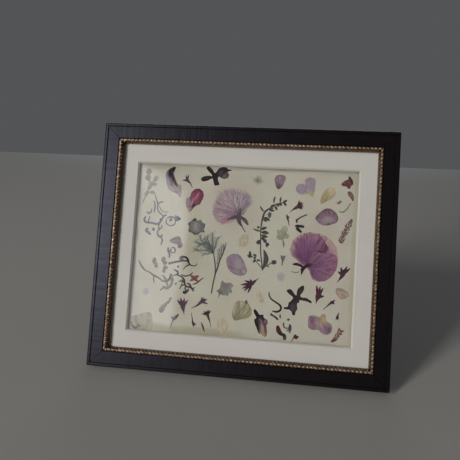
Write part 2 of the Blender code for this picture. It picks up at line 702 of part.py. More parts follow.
JAGGED = {
    "dark_spurred_flower": ("dark_petal", [
        (-45.5, 68.5), (-43.0, 71.5), (-38.0, 72.5), (-34.0, 72.5), (-36.5, 75.5), (-40.5, 79.5),
        (-40.3, 81.6), (-37.5, 81.6), (-34.0, 78.5), (-32.0, 75.5), (-30.5, 76.5), (-28.0, 80.5),
        (-25.5, 81.6), (-20.8, 81.6), (-19.8, 80.0), (-15.6, 79.6), (-15.6, 78.6), (-19.0, 77.2),
        (-17.4, 74.3), (-18.6, 71.5), (-22.0, 70.0), (-25.0, 71.0), (-27.0, 72.2), (-28.5, 71.0),
        (-27.8, 67.5), (-26.5, 64.5), (-28.5, 63.0), (-31.5, 63.5), (-33.0, 68.0), (-34.0, 70.3),
        (-37.5, 68.2), (-41.0, 66.8), (-44.0, 67.0)]),
    "dark_orchid_flower": ("dark_petal", [
        (45.5, -35.0), (47.5, -33.3), (50.0, -33.8), (53.0, -37.5), (54.8, -38.8), (55.2, -34.5),
        (57.0, -31.0), (60.8, -29.0), (61.5, -32.5), (60.0, -36.0), (58.5, -38.5), (60.0, -40.2),
        (64.0, -40.5), (67.0, -41.8), (69.3, -43.3), (68.5, -45.0), (65.5, -43.8), (60.0, -43.0),
        (57.5, -43.5), (57.8, -45.5), (55.8, -46.5), (56.3, -51.0), (54.8, -54.0), (54.3, -57.5),
        (52.3, -57.0), (51.2, -54.0), (48.5, -52.8), (44.0, -52.0), (44.3, -50.5), (47.0, -50.0),
        (47.5, -46.5), (50.5, -43.5), (51.5, -40.5), (48.0, -38.0)]),
    "dark_folded_petal": ("dark_petal", [
        (15.0, -56.0), (16.0, -54.5), (18.5, -56.5), (21.0, -59.5), (24.5, -59.0), (25.0, -62.0),
        (28.5, -64.0), (29.0, -67.0), (28.0, -70.0), (29.0, -74.0), (28.5, -79.5), (26.0, -80.0),
        (23.0, -77.0), (21.5, -77.5), (20.0, -74.5), (17.5, -69.5), (16.0, -64.5), (18.0, -62.5),
        (16.0, -59.0)]),
    "red_brown_flower": ("red_brown_petal", [
        (91.5, 70.5), (94.0, 73.0), (97.5, 75.0), (98.0, 78.0), (100.0, 77.0), (102.0, 73.5),
        (102.5, 70.5), (100.5, 69.0), (99.5, 66.3), (97.5, 66.5), (96.0, 68.0), (93.0, 68.5)]),
    "lower_left_floret": ("magenta_petal", [
        (-52.7, -65.0), (-55.0, -61.0), (-57.0, -56.5), (-60.8, -50.8), (-57.3, -52.5), (-57.7, -48.6),
        (-53.3, -48.8), (-52.7, -53.0), (-49.8, -50.3), (-51.0, -55.0), (-53.6, -60.5)]),
    "centre_floret": ("magenta_petal", [
        (17.6, -24.8), (14.0, -28.4), (12.0, -33.0), (9.5, -39.0), (8.0, -40.2), (7.3, -37.3),
        (4.3, -38.3), (5.0, -35.4), (2.3, -36.2), (3.8, -33.3), (0.5, -32.4), (3.8, -30.8),
        (4.3, -27.3), (7.8, -28.3), (9.5, -26.3), (10.8, -28.3), (13.3, -28.0)]),
    "tall_floret": ("magenta_petal", [
        (73.7, -45.2), (74.3, -40.5), (72.8, -34.0), (73.2, -27.4), (75.2, -30.6), (77.0, -28.2),
        (79.8, -29.6), (78.3, -33.4), (79.3, -36.3), (81.0, -37.6), (77.2, -38.8), (75.4, -40.5)]),
    "right_floret": ("magenta_petal", [
        (92.2, -23.8), (94.8, -19.0), (96.4, -14.8), (92.4, -14.0), (92.5, -12.6), (96.3, -12.4),
        (94.7, -8.8), (98.3, -10.5), (101.0, -7.6), (104.2, -9.5), (101.6, -12.6), (98.6, -15.6),
        (96.0, -20.0)]),
}

BRANCHES = {
    "lilac_flower_calyx": ("dark_petal", (
        [(1.8, 19.8), (-0.6, 24.0), (-3.8, 28.0), (-5.0, 33.0), (-4.8, 38.0), (-4.2, 42.8)],
        [0.4, 0.5, 1.1, 2.2, 1.6, 0.4],
        [(3, 1, leaf((-6.0, 33.5), (-17.0, 30.5), 4.0)),
         (3, -1, leaf((-4.0, 33.0), (4.6, 26.6), 3.6))])),
    "magenta_flower_calyx": ("dark_petal", (
        [(58.3, -18.6), (58.8, -14.5), (60.0, -11.5), (63.5, -9.6), (68.5, -9.0)],
        [0.4, 1.2, 1.8, 2.0, 0.6],
        [(1, 1, leaf((58.0, -11.0), (49.6, -9.4), 3.4))])),
    "central_sprig": ("dried_leaf", (
        [(21.0, -17.0), (20.9, -15.0), (20.5, -12.0), (19.9, -7.0), (18.7, 0.0), (17.8, 7.0),
         (17.4, 11.5), (17.2, 17.0), (17.3, 21.0), (17.7, 27.0), (18.3, 31.5), (19.2, 36.0),
         (21.0, 40.5), (24.0, 44.0), (28.0, 46.6), (32.0, 48.8), (36.0, 50.2), (40.0, 50.0)],
        [0.7, 0.7, 0.6, 0.55, 0.55, 0.6, 0.6, 0.6, 0.6, 0.6, 0.6, 0.7, 0.8, 0.9, 0.9, 1.0, 1.2, 0.5],
        [(1, -1, ([(20.9, -15.0), (25.0, -12.8), (28.5, -9.8), (31.0, -7.5), (32.8, -6.2)],
                  [0.4, 0.45, 0.6, 2.3, 1.2], [])),
         (1, 1, ([(20.9, -15.0), (17.2, -11.5), (14.2, -7.8), (12.0, -4.2), (6.5, -2.6)],
                 [0.35, 0.45, 0.55, 1.2, 0.5],
                 [(2, 1, leaf((14.0, -7.8), (10.0, -9.0), 2.0)),
                  (3, -1, leaf((12.4, -4.0), (16.3, -2.6), 2.2))])),
         (2, -1, ([(20.8, -11.5), (23.6, -8.8), (25.0, -4.5), (23.0, 0.5), (21.2, 3.2)],
                  [0.5, 1.8, 2.9, 1.6, 0.25], [])),
         (5, 1, leaf((17.8, 9.0), (13.2, 8.6), 3.0)),
         (6, -1, ([(17.8, 11.0), (21.5, 11.2), (24.0, 9.6), (26.6, 7.6)], [0.4, 2.0, 2.4, 1.1], [])),
         (7, -1, leaf((17.5, 16.5), (25.2, 16.6), 4.2)),
         (8, 1, leaf((17.2, 21.0), (9.4, 21.4), 2.2)),
         (8, -1, leaf((17.4, 20.6), (24.0, 23.0), 3.6)),
         (10, -1, leaf((18.3, 31.3), (26.6, 30.6), 3.4)),
         (11, 1, leaf((18.5, 38.5), (15.0, 44.6), 1.8)),
         (12, -1, leaf((21.3, 39.8), (27.4, 35.6), 4.2)),
         (13, -1, leaf((25.0, 44.0), (33.2, 41.2), 2.6)),
         (14, 1, leaf((28.0, 47.0), (28.4, 54.0), 1.8)),
         (15, -1, leaf((32.5, 48.5), (37.6, 45.4), 2.4)),
         (16, 1, leaf((35.4, 50.8), (34.6, 55.2), 1.6))])),
    "fennel_sprig": ("dried_leaf", (
        [(-26.0, -42.0), (-25.5, -32.0), (-24.6, -22.5), (-25.4, -12.0), (-26.8, -4.0), (-28.5, 0.5),
         (-30.0, 4.5), (-31.5, 8.5), (-33.0, 13.5)],
        [0.6, 0.7, 0.8, 0.7, 0.9, 2.4, 3.2, 1.6, 0.25],
        [(2, -1, ([(-24.6, -22.5), (-21.6, -14.0), (-19.6, -5.5), (-17.3, 1.5), (-15.2, 8.0)],
                  [0.5, 0.5, 0.45, 0.4, 0.25],
                  [(2, 1, leaf((-19.8, -5.5), (-21.6, 2.6), 0.9))])),
         (4, 1, leaf((-27.5, -4.0), (-38.5, -1.8), 1.0)),
         (5, 1, leaf((-29.5, 0.5), (-45.3, 3.0), 1.2)),
         (5, -1, leaf((-27.5, 0.5), (-21.6, 7.0), 1.2)),
         (6, 1, leaf((-31.5, 5.0), (-43.6, 8.6), 1.2)),
         (6, -1, leaf((-28.5, 5.0), (-22.0, 13.4), 1.2)),
         (7, 1, leaf((-32.0, 8.5), (-37.0, 13.0), 1.0)),
         (7, -1, leaf((-30.5, 8.5), (-28.6, 17.4), 1.0))])),
    "lichen_twig": ("dried_leaf", (
        [(-101.3, -14.5), (-98.5, -19.5), (-95.0, -23.5), (-91.0, -25.3), (-87.5, -27.0),
         (-83.0, -29.3), (-78.5, -31.8), (-74.0, -34.3), (-70.3, -33.0), (-69.0, -29.0), (-69.0, -25.5)],
        [0.5, 0.7, 0.9, 0.6, 0.7, 0.8, 0.9, 1.0, 1.4, 1.6, 0.9],
        [(4, -1, ([(-87.0, -27.0), (-85.8, -31.5), (-84.3, -36.0)], [0.4, 0.5, 0.5], []))])),
    "dark_curved_twig": ("dried_leaf", (
        [(-72.5, -16.0), (-66.0, -14.3), (-59.0, -13.2), (-54.5, -12.4), (-51.8, -13.2),
         (-50.0, -15.6), (-46.0, -16.2), (-43.3, -14.0)],
        [1.0, 0.9, 0.7, 0.8, 0.7, 0.5, 0.45, 0.4],
        [(3, 1, ([(-54.5, -12.0), (-55.0, -9.6), (-57.5, -9.0), (-60.6, -9.4)],
                 [0.9, 1.1, 1.4, 0.7], [])),
         (5, -1, ([(-50.0, -15.8), (-53.0, -17.8), (-56.3, -20.8)], [0.4, 0.45, 0.5], []))])),
    "grey_leafy_sprig": ("grey_leaf", (
        [(-102.3, 41.5), (-100.5, 48.0), (-98.3, 54.0), (-97.0, 60.0), (-97.0, 66.0), (-97.4, 71.0),
         (-98.2, 76.0)],
        [0.4, 0.5, 0.7, 0.8, 0.9, 1.8, 1.0],
        [(2, -1, leaf((-98.0, 54.5), (-91.0, 53.0), 2.0)),
         (3, -1, ([(-96.8, 60.0), (-93.5, 62.5), (-91.0, 66.0), (-89.6, 69.6)], [0.5, 1.4, 1.2, 0.7],
                  [(1, -1, leaf((-93.0, 62.0), (-88.4, 61.0), 2.2))])),
         (4, 1, leaf((-97.2, 66.0), (-102.0, 68.6), 3.0))])),
    "dark_curled_stem": ("dried_leaf", (
        [(28.5, -37.0), (29.0, -40.0), (31.0, -43.4), (35.0, -46.0), (39.0, -48.0), (41.0, -50.6),
         (39.5, -53.6), (36.0, -54.9), (32.4, -54.0)],
        [0.5, 0.6, 0.7, 0.7, 0.8, 0.8, 0.8, 0.8, 0.5],
        [])),
}
UPPER_PIECES = ("lilac_flower_calyx", "magenta_flower_calyx")


def pressed_specimens(parent):
    """Every large specimen as its own thin solid between the glass and the sheet."""
    shapes = {name: (slot, rounded(points)) for name, (slot, points) in PETALS.items()}
    shapes.update(JAGGED)
    shapes.update({name: (slot, walk(branch)) for name, (slot, branch) in BRANCHES.items()})
    for name, (slot, outline) in shapes.items():
        upper = name in UPPER_PIECES
        front = UPPER_FRONT if upper else LOWER_FRONT
        thickness = UPPER_LAYER if upper else LOWER_LAYER
        finish(name, plate(outline, front, front + thickness), slot, parent)


# ---------------------------------------------------------------- the whole object
def build():
    for old in list(bpy.data.objects):
        bpy.data.objects.remove(old, do_unlink=True)

    centre_up = HALF_HEIGHT * math.cos(LEAN) + FRAME_DEPTH * math.sin(LEAN)
    middle_back = (FOOT_REAR + front_most()) / 2
    centre_back = HALF_HEIGHT * math.sin(LEAN) - FRAME_DEPTH * math.cos(LEAN) - middle_back
    holder = empty("frame_lean", (0.0, centre_back, centre_up), -LEAN_DEG)
    pivot = empty("strut_pivot", (0.0, HINGE_DEPTH, HINGE_Z), LEAN_DEG + STRUT_OFF_VERTICAL_DEG, holder)

    rails = {side: rail(side, holder) for side in SIDES}
    for side in SIDES:
        beaded_strip(side, holder)
    window_mat(holder)
    insert_plate("glass_sheet", GLASS_FRONT, GLASS_THICKNESS, "clear_glass", holder)
    insert_plate("specimen_sheet", SHEET_FRONT, SHEET_THICKNESS, "cream_paper", holder)
    insert_plate("back_board", BOARD_FRONT, BOARD_THICKNESS, "fibreboard", holder)
    pressed_specimens(holder)

    hinge_bracket(holder)
    hinge_pin(holder)
    hinge_leaf(pivot)
    easel_strut(pivot)
    for side, sign in (("left", -1), ("right", 1)):
        for level, z in (("lower", -BUTTON_HEIGHT), ("upper", BUTTON_HEIGHT)):
            name = "turn_button_" + level + "_" + side
            turn_button(name, sign, z, holder)
            button_screw("screw_" + level + "_" + side, sign, z, holder)
            pilot_hole(rails[side], name, sign, z, holder)


build()
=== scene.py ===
"""Finishes and fine detail of a pressed flower frame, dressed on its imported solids.

Places on the frame are in millimetres in its own plane: x runs right and up runs up from the middle of the
front face, and depth runs back into the frame. PLANE turns them into the model's metres.
"""
import json
import math
import random

import bmesh
import bpy
import numpy as np
from bpy.props import FloatProperty, FloatVectorProperty, IntProperty, PointerProperty
from mathutils import Matrix, Vector, noise
from mathutils.geometry import delaunay_2d_cdt


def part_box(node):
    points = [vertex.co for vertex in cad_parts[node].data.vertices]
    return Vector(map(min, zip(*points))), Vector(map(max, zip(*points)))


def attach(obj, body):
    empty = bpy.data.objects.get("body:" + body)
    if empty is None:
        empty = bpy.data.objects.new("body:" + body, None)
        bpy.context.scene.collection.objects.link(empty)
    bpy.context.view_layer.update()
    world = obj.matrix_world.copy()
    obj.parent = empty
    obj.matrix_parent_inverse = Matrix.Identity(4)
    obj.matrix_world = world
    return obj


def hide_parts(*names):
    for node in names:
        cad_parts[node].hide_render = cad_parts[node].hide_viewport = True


bl_info = {
    "name": "Pressed Flower Frame",
    "version": (1, 0, 0),
    "blender": (4, 5, 0),
    "location": "3D View > Sidebar > Flower Frame",
    "description": "Dresses a pressed flower frame with its finishes, beading and specimens",
    "category": "Object",
}

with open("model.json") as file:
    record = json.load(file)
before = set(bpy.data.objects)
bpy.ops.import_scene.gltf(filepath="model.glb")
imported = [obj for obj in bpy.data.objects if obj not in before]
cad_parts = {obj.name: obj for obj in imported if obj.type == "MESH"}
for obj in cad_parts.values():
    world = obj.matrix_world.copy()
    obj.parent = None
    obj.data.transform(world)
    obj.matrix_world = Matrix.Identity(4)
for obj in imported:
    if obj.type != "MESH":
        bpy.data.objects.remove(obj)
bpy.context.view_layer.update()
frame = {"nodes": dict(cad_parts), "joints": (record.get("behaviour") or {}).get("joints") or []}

# ---------------------------------------------------------------- the frame's own plane
MM = 0.001
GLASS_MIDDLE_DEPTH = 11.2
BACKWARDS = Vector(next(j["axis"] for j in frame["joints"] if j["name"] == "swivel_upper_left"))
LEAN = math.asin(-BACKWARDS.z)
GLASS_LOW, GLASS_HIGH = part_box("glass_sheet")
ORIGIN = (GLASS_LOW + GLASS_HIGH) / 2 - BACKWARDS * GLASS_MIDDLE_DEPTH * MM
PLANE = Matrix.Translation(ORIGIN) @ Matrix.Rotation(-LEAN, 4, "X") @ Matrix.Scale(MM, 4)
FROM_PLANE = PLANE.inverted()

HALF_WIDTH = 143.0
HALF_HEIGHT = 119.5
# from the outer edge inwards to the line of the beads
BEAD_CREST = 16.4
# backs of the specimens: on the sheet, over another petal, and the calyxes on top of both
LYING = 13.55
OVERLAP = 13.12
ON_TOP = 12.92
# left, right, low and high edge of the mat's window
WINDOW = (-109.1, 109.1, -84.5, 83.4)


# ---------------------------------------------------------------- sizes and colours to change
def linear(code):
    """An sRGB hex colour as the linear colour that the nodes take."""
    parts = [int(code[i:i + 2], 16) / 255 for i in (1, 3, 5)]
    return tuple(c / 12.92 if c <= 0.04045 else ((c + 0.055) / 1.055) ** 2.4 for c in parts)


def rgba(colour):
    """A hex code or a linear colour with full cover."""
    return (*(linear(colour) if isinstance(colour, str) else colour), 1.0)


def length(words, default):
    return FloatProperty(name=words[0], description=words[1], default=default * MM, min=0.0,
                         subtype="DISTANCE", unit="LENGTH", precision=5)


def colour(words, code):
    return FloatVectorProperty(
        name=words[0], description=words[1], subtype="COLOR", default=linear(code), min=0.0, max=1.0)


class FlowerFrameSizes(bpy.types.PropertyGroup):
    """Sizes of the detail."""

    bead_pitch: length(("Bead Pitch", "From one bead to the next along the strip"), 3.7)
    bead_size: length(("Bead Size", "Along one bead"), 2.9)
    lobe_size: length(("Lobe Size", "Along one leaf lobe below the beads"), 2.5)
    petal_mesh: length(("Petal Mesh", "From one point of a petal's mesh to the next"), 1.1)
    petal_thickness: length(("Petal Thickness", "How thick a pressed petal is"), 0.22)
    hair_pitch: length(("Hair Pitch", "From one fennel hair to the next along its rib"), 0.5)
    seed: IntProperty(name="Seed", description="Changes every random detail", default=4)


class FlowerFrameColours(bpy.types.PropertyGroup):
    """Base colours of the holder."""

    wood: colour(("Wood", "Lacquered moulding"), "#0E0B0A")
    gilt: colour(("Gilt", "Tops of the beads"), "#B6A48C")
    # laid where the beading lies deeper than the bead tops: the brown clay ground, and painted shade in the
    # hollows
    bole_and_hollow_shade: colour(("Bole", "Brown ground in the hollows of the beading"), "#3E2612")
    mat: colour(("Mat", "Face of the window mat"), "#C5C2BD")
    core: colour(("Mat Core", "Cut bevel of the window mat"), "#C3BFB2")
    paper: colour(("Paper", "Sheet behind the flowers"), "#ECE8D6")


def size(key):
    """One of the sizes above, in millimetres."""
    return getattr(bpy.context.scene.flower_frame_sizes, key) / MM


def seed():
    return bpy.context.scene.flower_frame_sizes.seed


def colours():
    return bpy.context.scene.flower_frame_colours


# ---------------------------------------------------------------- materials: one way to add a node
def add(tree, kind, sockets=None, stops=(), **settings):
    """Adds a node with its settings. A socket takes a value or another node's output."""
    made = tree.nodes.new(kind)
    for key, value in settings.items():
        setattr(made, key, value)
    for key, value in (sockets or {}).items():
        if isinstance(value, bpy.types.NodeSocket):
            tree.links.new(value, made.inputs[key])
        else:
            made.inputs[key].default_value = value
    for i, code in enumerate(stops):
        points = made.color_ramp.elements
        point = points[i] if i < 2 else points.new(1.0)
        point.position = i / (len(stops) - 1)
        point.color = rgba(code)
    return made


def new_material(name, roughness, metallic=0.0):
    """A material with a Principled shader. Returns it with its tree and shader."""
    made = bpy.data.materials.new(name)
    made.use_nodes = True
    shader = made.node_tree.nodes["Principled BSDF"]
    shader.inputs["Roughness"].default_value = roughness
    shader.inputs["Metallic"].default_value = metallic
    return made, made.node_tree, shader


def plane_place(tree):
    """Where a point is in the frame's plane, in millimetres: x, depth and up."""
    place = add(tree, "ShaderNodeTexCoord").outputs["Object"]
    return add(tree, "ShaderNodeMapping", {
        "Vector": place,
        "Location": FROM_PLANE.to_translation(),
        "Rotation": (LEAN, 0.0, 0.0),
        "Scale": (1 / MM, 1 / MM, 1 / MM),
    }).outputs[0]


def laid(tree, ground, paint, pattern, low, high, share, blend="MIX"):
    """Lays a colour over the ground, its cover rising to the share as the pattern runs from low to high."""
    cover = add(tree, "ShaderNodeMapRange", {
        "Value": pattern, "From Min": low, "From Max": high, "To Max": share},
        interpolation_type="SMOOTHSTEP").outputs[0]
    return add(tree, "ShaderNodeMix", {0: cover, 6: ground, 7: rgba(paint)},
               data_type="RGBA", blend_type=blend).outputs[2]


# a patch colours whatever lies in this depth, and fades in between these shares of its half sizes
SPOT_DEPTH = 1e4
SPOT_FADE = (1.25, 0.45)


def soft_spot(tree, place, spot, ground):
    """Lays a soft oval patch over the ground: (x, up, half width, half height, turn, colour, share)."""
    x, up, across, along, turn, code, share = spot
    local = add(tree, "ShaderNodeMapping", {
        "Vector": place,
        "Location": (x, 0.0, up),
        "Rotation": (0.0, -math.radians(turn), 0.0),
        "Scale": (across, SPOT_DEPTH, along),
    }, vector_type="TEXTURE").outputs[0]
    reach = add(tree, "ShaderNodeVectorMath", {0: local}, operation="LENGTH").outputs["Value"]
    return laid(tree, ground, code, reach, *SPOT_FADE, share)


def settle(tree, shader, skin, relief, distance, gloss=None):
    """Gives the shader its finished colour, its relief in millimetres and, as (low, high), its roughness."""
    bump = add(tree, "ShaderNodeBump", {"Height": relief, "Distance": distance * MM, "Strength": 0.6})
    tree.links.new(bump.outputs[0], shader.inputs["Normal"])
    tree.links.new(skin, shader.inputs["Base Color"])
    if gloss:
        spread = add(tree, "ShaderNodeMapRange", {
            "Value": relief, "From Min": 0.3, "From Max": 0.75, "To Min": gloss[0], "To Max": gloss[1]})
        tree.links.new(spread.outputs[0], shader.inputs["Roughness"])


# ---------------------------------------------------------------- finishes of the holder
def lacquered_wood(name, along_x):
    """Close-grained beech stained almost black: red-brown streaks under a thin, cool lacquer sheen.

    The moulding was drawn past a hand-held cutter, so faint ripples cross it every few millimetres.
    """
    made, tree, shader = new_material(name, 0.32)
    place = plane_place(tree)
    stretch = (0.02, 0.6, 0.6) if along_x else (0.6, 0.6, 0.02)
    grain = add(tree, "ShaderNodeTexNoise", {
        "Vector": add(tree, "ShaderNodeMapping", {"Vector": place, "Scale": stretch}).outputs[0],
        "Scale": 3.0, "Detail": 5.0, "Roughness": 0.6}).outputs[0]
    across = (0.24, 0.03, 0.03) if along_x else (0.03, 0.03, 0.24)
    ripple = add(tree, "ShaderNodeTexNoise", {
        "Vector": add(tree, "ShaderNodeMapping", {"Vector": place, "Scale": across}).outputs[0],
        "Scale": 1.0, "Detail": 3.0}).outputs[0]
    skin = laid(tree, rgba(colours().wood), "#221410", grain, 0.42, 0.72, 0.6)
    skin = laid(tree, skin, "#050404", ripple, 0.35, 0.7, 0.5)
    shader.inputs["Specular IOR Level"].default_value = 0.2
    shader.inputs["Specular Tint"].default_value = rgba("#D8DCF6")
    relief = add(tree, "ShaderNodeMath", {0: grain, 1: 0.3, 2: ripple}, operation="MULTIPLY_ADD").outputs[0]
    settle(tree, shader, skin, relief, 0.22, (0.26, 0.36))
    return made


def worn_gilding():
    """Metal leaf over brown clay on moulded beading: pale where rubbed; the hollows brown clay and painted
    shade.
    """
    made, tree, shader = new_material("worn gilding over bole", 0.42, 0.35)
    place = plane_place(tree)
    depth = add(tree, "ShaderNodeSeparateXYZ", {0: place}).outputs["Y"]
    rub = add(tree, "ShaderNodeTexNoise", {"Vector": place, "Scale": 0.45, "Detail": 4.0}).outputs[0]
    uneven = add(tree, "ShaderNodeMath", {0: rub, 1: 0.9, 2: depth}, operation="MULTIPLY_ADD").outputs[0]
    skin = laid(tree, rgba(colours().gilt), "#7C6044", rub, 0.38, 0.6, 0.85)
    # dark brown where the beading lies deeper than the bead tops: the brown clay ground, and painted shade
    # between the beads and on the upper slope
    skin = laid(tree, skin, colours().bole_and_hollow_shade, uneven, 1.0, 2.1, 1.0)
    skin = laid(tree, skin, "#6E5434", uneven, 3.2, 4.4, 0.75)
    settle(tree, shader, skin, rub, 0.2, (0.36, 0.5))
    return made


# less than any distance outside the window's edges
FAR_INSIDE = -1e3


def mat_board():
    """Cotton mat board: a lightly toothed grey-white face and a smooth cut core."""
    made, tree, shader = new_material("cotton mat board", 0.88)
    place = plane_place(tree)
    split = add(tree, "ShaderNodeSeparateXYZ", {0: place})
    outside = FAR_INSIDE
    for key, edge, sign in zip("XXZZ", WINDOW, (-1, 1, -1, 1)):
        beyond = add(tree, "ShaderNodeMath", {0: split.outputs[key], 1: float(sign), 2: -sign * edge},
                     operation="MULTIPLY_ADD").outputs[0]
        outside = add(tree, "ShaderNodeMath", {0: outside, 1: beyond}, operation="MAXIMUM").outputs[0]
    tooth = add(tree, "ShaderNodeTexNoise", {"Vector": place, "Scale": 1.6, "Detail": 5.0}).outputs[0]
    cloud = add(tree, "ShaderNodeTexNoise", {"Vector": place, "Scale": 0.02, "Detail": 3.0}).outputs[0]
    skin = laid(tree, rgba(colours().mat), "#BDB9AF", cloud, 0.35, 0.7, 0.25)
    skin = laid(tree, skin, "#A9A59C", tooth, 0.3, 0.7, 0.1)
    skin = laid(tree, skin, colours().core, outside, 0.05, -0.25, 1.0)
    settle(tree, shader, skin, tooth, 0.06)
    return made


def aged_paper():
    """Unsized rag paper, toned by the glue and sap of the flowers: cream with faint brown stains."""
    made, tree, shader = new_material("aged rag paper", 0.92)
    place = plane_place(tree)
    fibre = add(tree, "ShaderNodeTexNoise", {"Vector": place, "Scale": 0.9, "Detail": 6.0}).outputs[0]
    cloud = add(tree, "ShaderNodeTexNoise", {"Vector": place, "Scale": 0.03, "Detail": 4.0}).outputs[0]
    skin = laid(tree, rgba(colours().paper), "#D8CFB8", cloud, 0.4, 0.7, 0.3)
    skin = laid(tree, skin, "#B9B09A", fibre, 0.35, 0.75, 0.12)
    for spot in STAINS:
        skin = soft_spot(tree, place, spot, skin)
    settle(tree, shader, skin, fibre, 0.05)
    return made


# soft patches on the paper, in the order that soft_spot takes them
STAINS = (
    (-88.0, 82.0, 24.0, 6.0, 0.0, "#A89A66", 0.25),
    (-84.0, -82.0, 26.0, 7.0, 4.0, "#A89C6C", 0.5),
    (-30.0, -81.0, 44.0, 6.0, 0.0, "#BFB28E", 0.5),
    (-48.0, 5.0, 9.0, 40.0, 0.0, "#CCC19C", 0.35),
    (88.0, 83.0, 40.0, 6.0, 0.0, "#BDB48E", 0.08),
    (0.0, 84.0, 60.0, 4.0, 0.0, "#BAB18C", 0.12),
    (107.0, 0.0, 4.0, 90.0, 0.0, "#C6BD9E", 0.35),
    (-10.0, 45.0, 32.0, 30.0, 0.0, "#CDC1AC", 0.3),
)


def window_glass():
    """Float glass, 2 mm: clear, with the faintest green in its thickness."""
    made, tree, shader = new_material("float glass", 0.0)
    shader.inputs["Transmission Weight"].default_value = 1.0
    shader.inputs["IOR"].default_value = 1.5
    shader.inputs["Base Color"].default_value = rgba("#FFFFFF")
    tint = add(tree, "ShaderNodeVolumeAbsorption", {"Color": rgba("#DDEFE6"), "Density": 6.0})
    tree.links.new(tint.outputs[0], tree.nodes["Material Output"].inputs["Volume"])
    return made


def fibreboard():
    """Hardboard, pressed from brown wood fibres: matt, with pale and dark flecks."""
    made, tree, shader = new_material("brown hardboard", 0.78)
    place = plane_place(tree)
    fleck = add(tree, "ShaderNodeTexNoise", {
        "Vector": add(tree, "ShaderNodeMapping", {"Vector": place, "Scale": (0.35, 1.0, 1.0)}).outputs[0],
        "Scale": 0.9, "Detail": 6.0, "Roughness": 0.7}).outputs[0]
    cloud = add(tree, "ShaderNodeTexNoise", {"Vector": place, "Scale": 0.04, "Detail": 3.0}).outputs[0]
    skin = laid(tree, rgba("#3F2A1C"), "#80603F", fleck, 0.3, 0.72, 1.0)
    skin = laid(tree, skin, "#4A3223", cloud, 0.35, 0.7, 0.35)
    settle(tree, shader, skin, fleck, 0.12)
    return made


def metal(name, pale, dark, roughness):
    """Stamped sheet or turned rod with a dull skin: two tones and fine wear."""
    made, tree, shader = new_material(name, roughness, 1.0)
    place = plane_place(tree)
    wear = add(tree, "ShaderNodeTexNoise", {"Vector": place, "Scale": 0.6, "Detail": 5.0}).outputs[0]
    skin = laid(tree, rgba(pale), dark, wear, 0.35, 0.7, 1.0)
    settle(tree, shader, skin, wear, 0.05, (roughness, roughness + 0.14))
    return made


# ---------------------------------------------------------------- finish of a dried specimen
# what darker and paler veins make of the colour under them
VEIN = (0.42, 0.36, 0.4)
PALE_VEIN = (1.5, 1.48, 1.46)


def dried(name, ramp, veins=(0.35, 6.0), edge=("#5A544C", 0.3, 0.2), spots=()):
    """Dried plant skin, matt and slightly papery, its colour running from base to tip.

    Veins fan out from the base, the margin dries to its own colour, and soft patches show where sap has run;
    a few paint the shade along a fold, and one paints a highlight. The map called growth runs from the base
    to the tip in u, and in v round a petal's base or across a stem. The attribute called edge is the distance
    to the margin in millimetres.
    """
    made, tree, shader = new_material(name, 0.82)
    place = plane_place(tree)
    growth = add(tree, "ShaderNodeUVMap", uv_map="growth").outputs[0]
    along = add(tree, "ShaderNodeSeparateXYZ", {0: growth}).outputs[0]
    cloud = add(tree, "ShaderNodeTexNoise", {"Vector": place, "Scale": 0.22, "Detail": 4.0}).outputs[0]
    grain = add(tree, "ShaderNodeTexNoise", {"Vector": place, "Scale": 1.3, "Detail": 4.0}).outputs[0]
    drift = add(tree, "ShaderNodeMapRange", {"Value": cloud, "To Min": -0.15, "To Max": 0.15}).outputs[0]
    run = add(tree, "ShaderNodeMath", {0: along, 1: drift}, operation="ADD").outputs[0]
    skin = add(tree, "ShaderNodeValToRGB", {0: run}, stops=ramp.split()).outputs[0]
    share, count = veins
    fan = add(tree, "ShaderNodeMapping", {"Vector": growth, "Scale": (1.6, count, 1.0)}).outputs[0]
    lines = add(tree, "ShaderNodeTexNoise", {"Vector": fan, "Scale": 1.0, "Detail": 3.0,
                                             "Roughness": 0.65}).outputs[0]
    for paint, pattern, high, cover in (
            (VEIN, lines, 0.62, share), (PALE_VEIN, lines, 0.38, share),
            (VEIN, grain, 0.7, 0.4), (PALE_VEIN, grain, 0.3, 0.4)):
        skin = laid(tree, skin, paint, pattern, 0.5, high, cover, "MULTIPLY")
    margin = add(tree, "ShaderNodeAttribute", attribute_name="edge").outputs["Fac"]
    code, width, share = edge
    skin = laid(tree, skin, code, margin, width, 0.0, share)
    for spot in spots:
        skin = soft_spot(tree, place, spot, skin)
    relief = add(tree, "ShaderNodeMath", {0: lines, 1: 0.6, 2: grain}, operation="MULTIPLY_ADD").outputs[0]
    settle(tree, shader, skin, relief, 0.14)
    return made


# ---------------------------------------------------------------- meshes drawn in the frame's plane
# edges that turn more than this stay sharp
SHARP_ANGLE = math.radians(50.0)
# points of a solid nearer than this are one, and faces within this depth of its foremost point are its front
MERGE_REACH = 0.001
FRONT_REACH = 0.05
# slices of the noise that ruffle a margin and crease a petal, and how fine the creases are
RUFFLE_SLICE = 7.3
CREASE_SLICE = 3.1
CREASE_SCALE = 0.12
# how often ridges change round a petal's base and along it
RIDGES_ROUND = 60.0
RIDGES_ALONG = 2.0
# shares of a mesh step: rim points nearer than this are dropped, rim spacing, row spacing and clear rim
CROWDED = 0.35
RIM_STEP = 0.8
ROW_STEP = 0.87
RIM_CLEAR = 0.5
# a petal thins over this width towards its rim, down to this share of its thickness
MARGIN_WIDTH = 1.3
RIM_SHARE = 0.35
# across a stem: place as a share of its width, height as a share of its height, and place on its map
STEM_SECTION = ((-0.5, 0.0, 0.0), (-0.27, 0.8, 0.25), (0.0, 1.0, 0.5), (0.27, 0.8, 0.75), (0.5, 0.0, 1.0))
# a stem's edges stand this far off its back, and its height grows with its width, up to the most
STEM_EDGE = 0.03
STEM_HEIGHT = 0.1
STEM_RISE = 0.16
STEM_MOST = 0.34
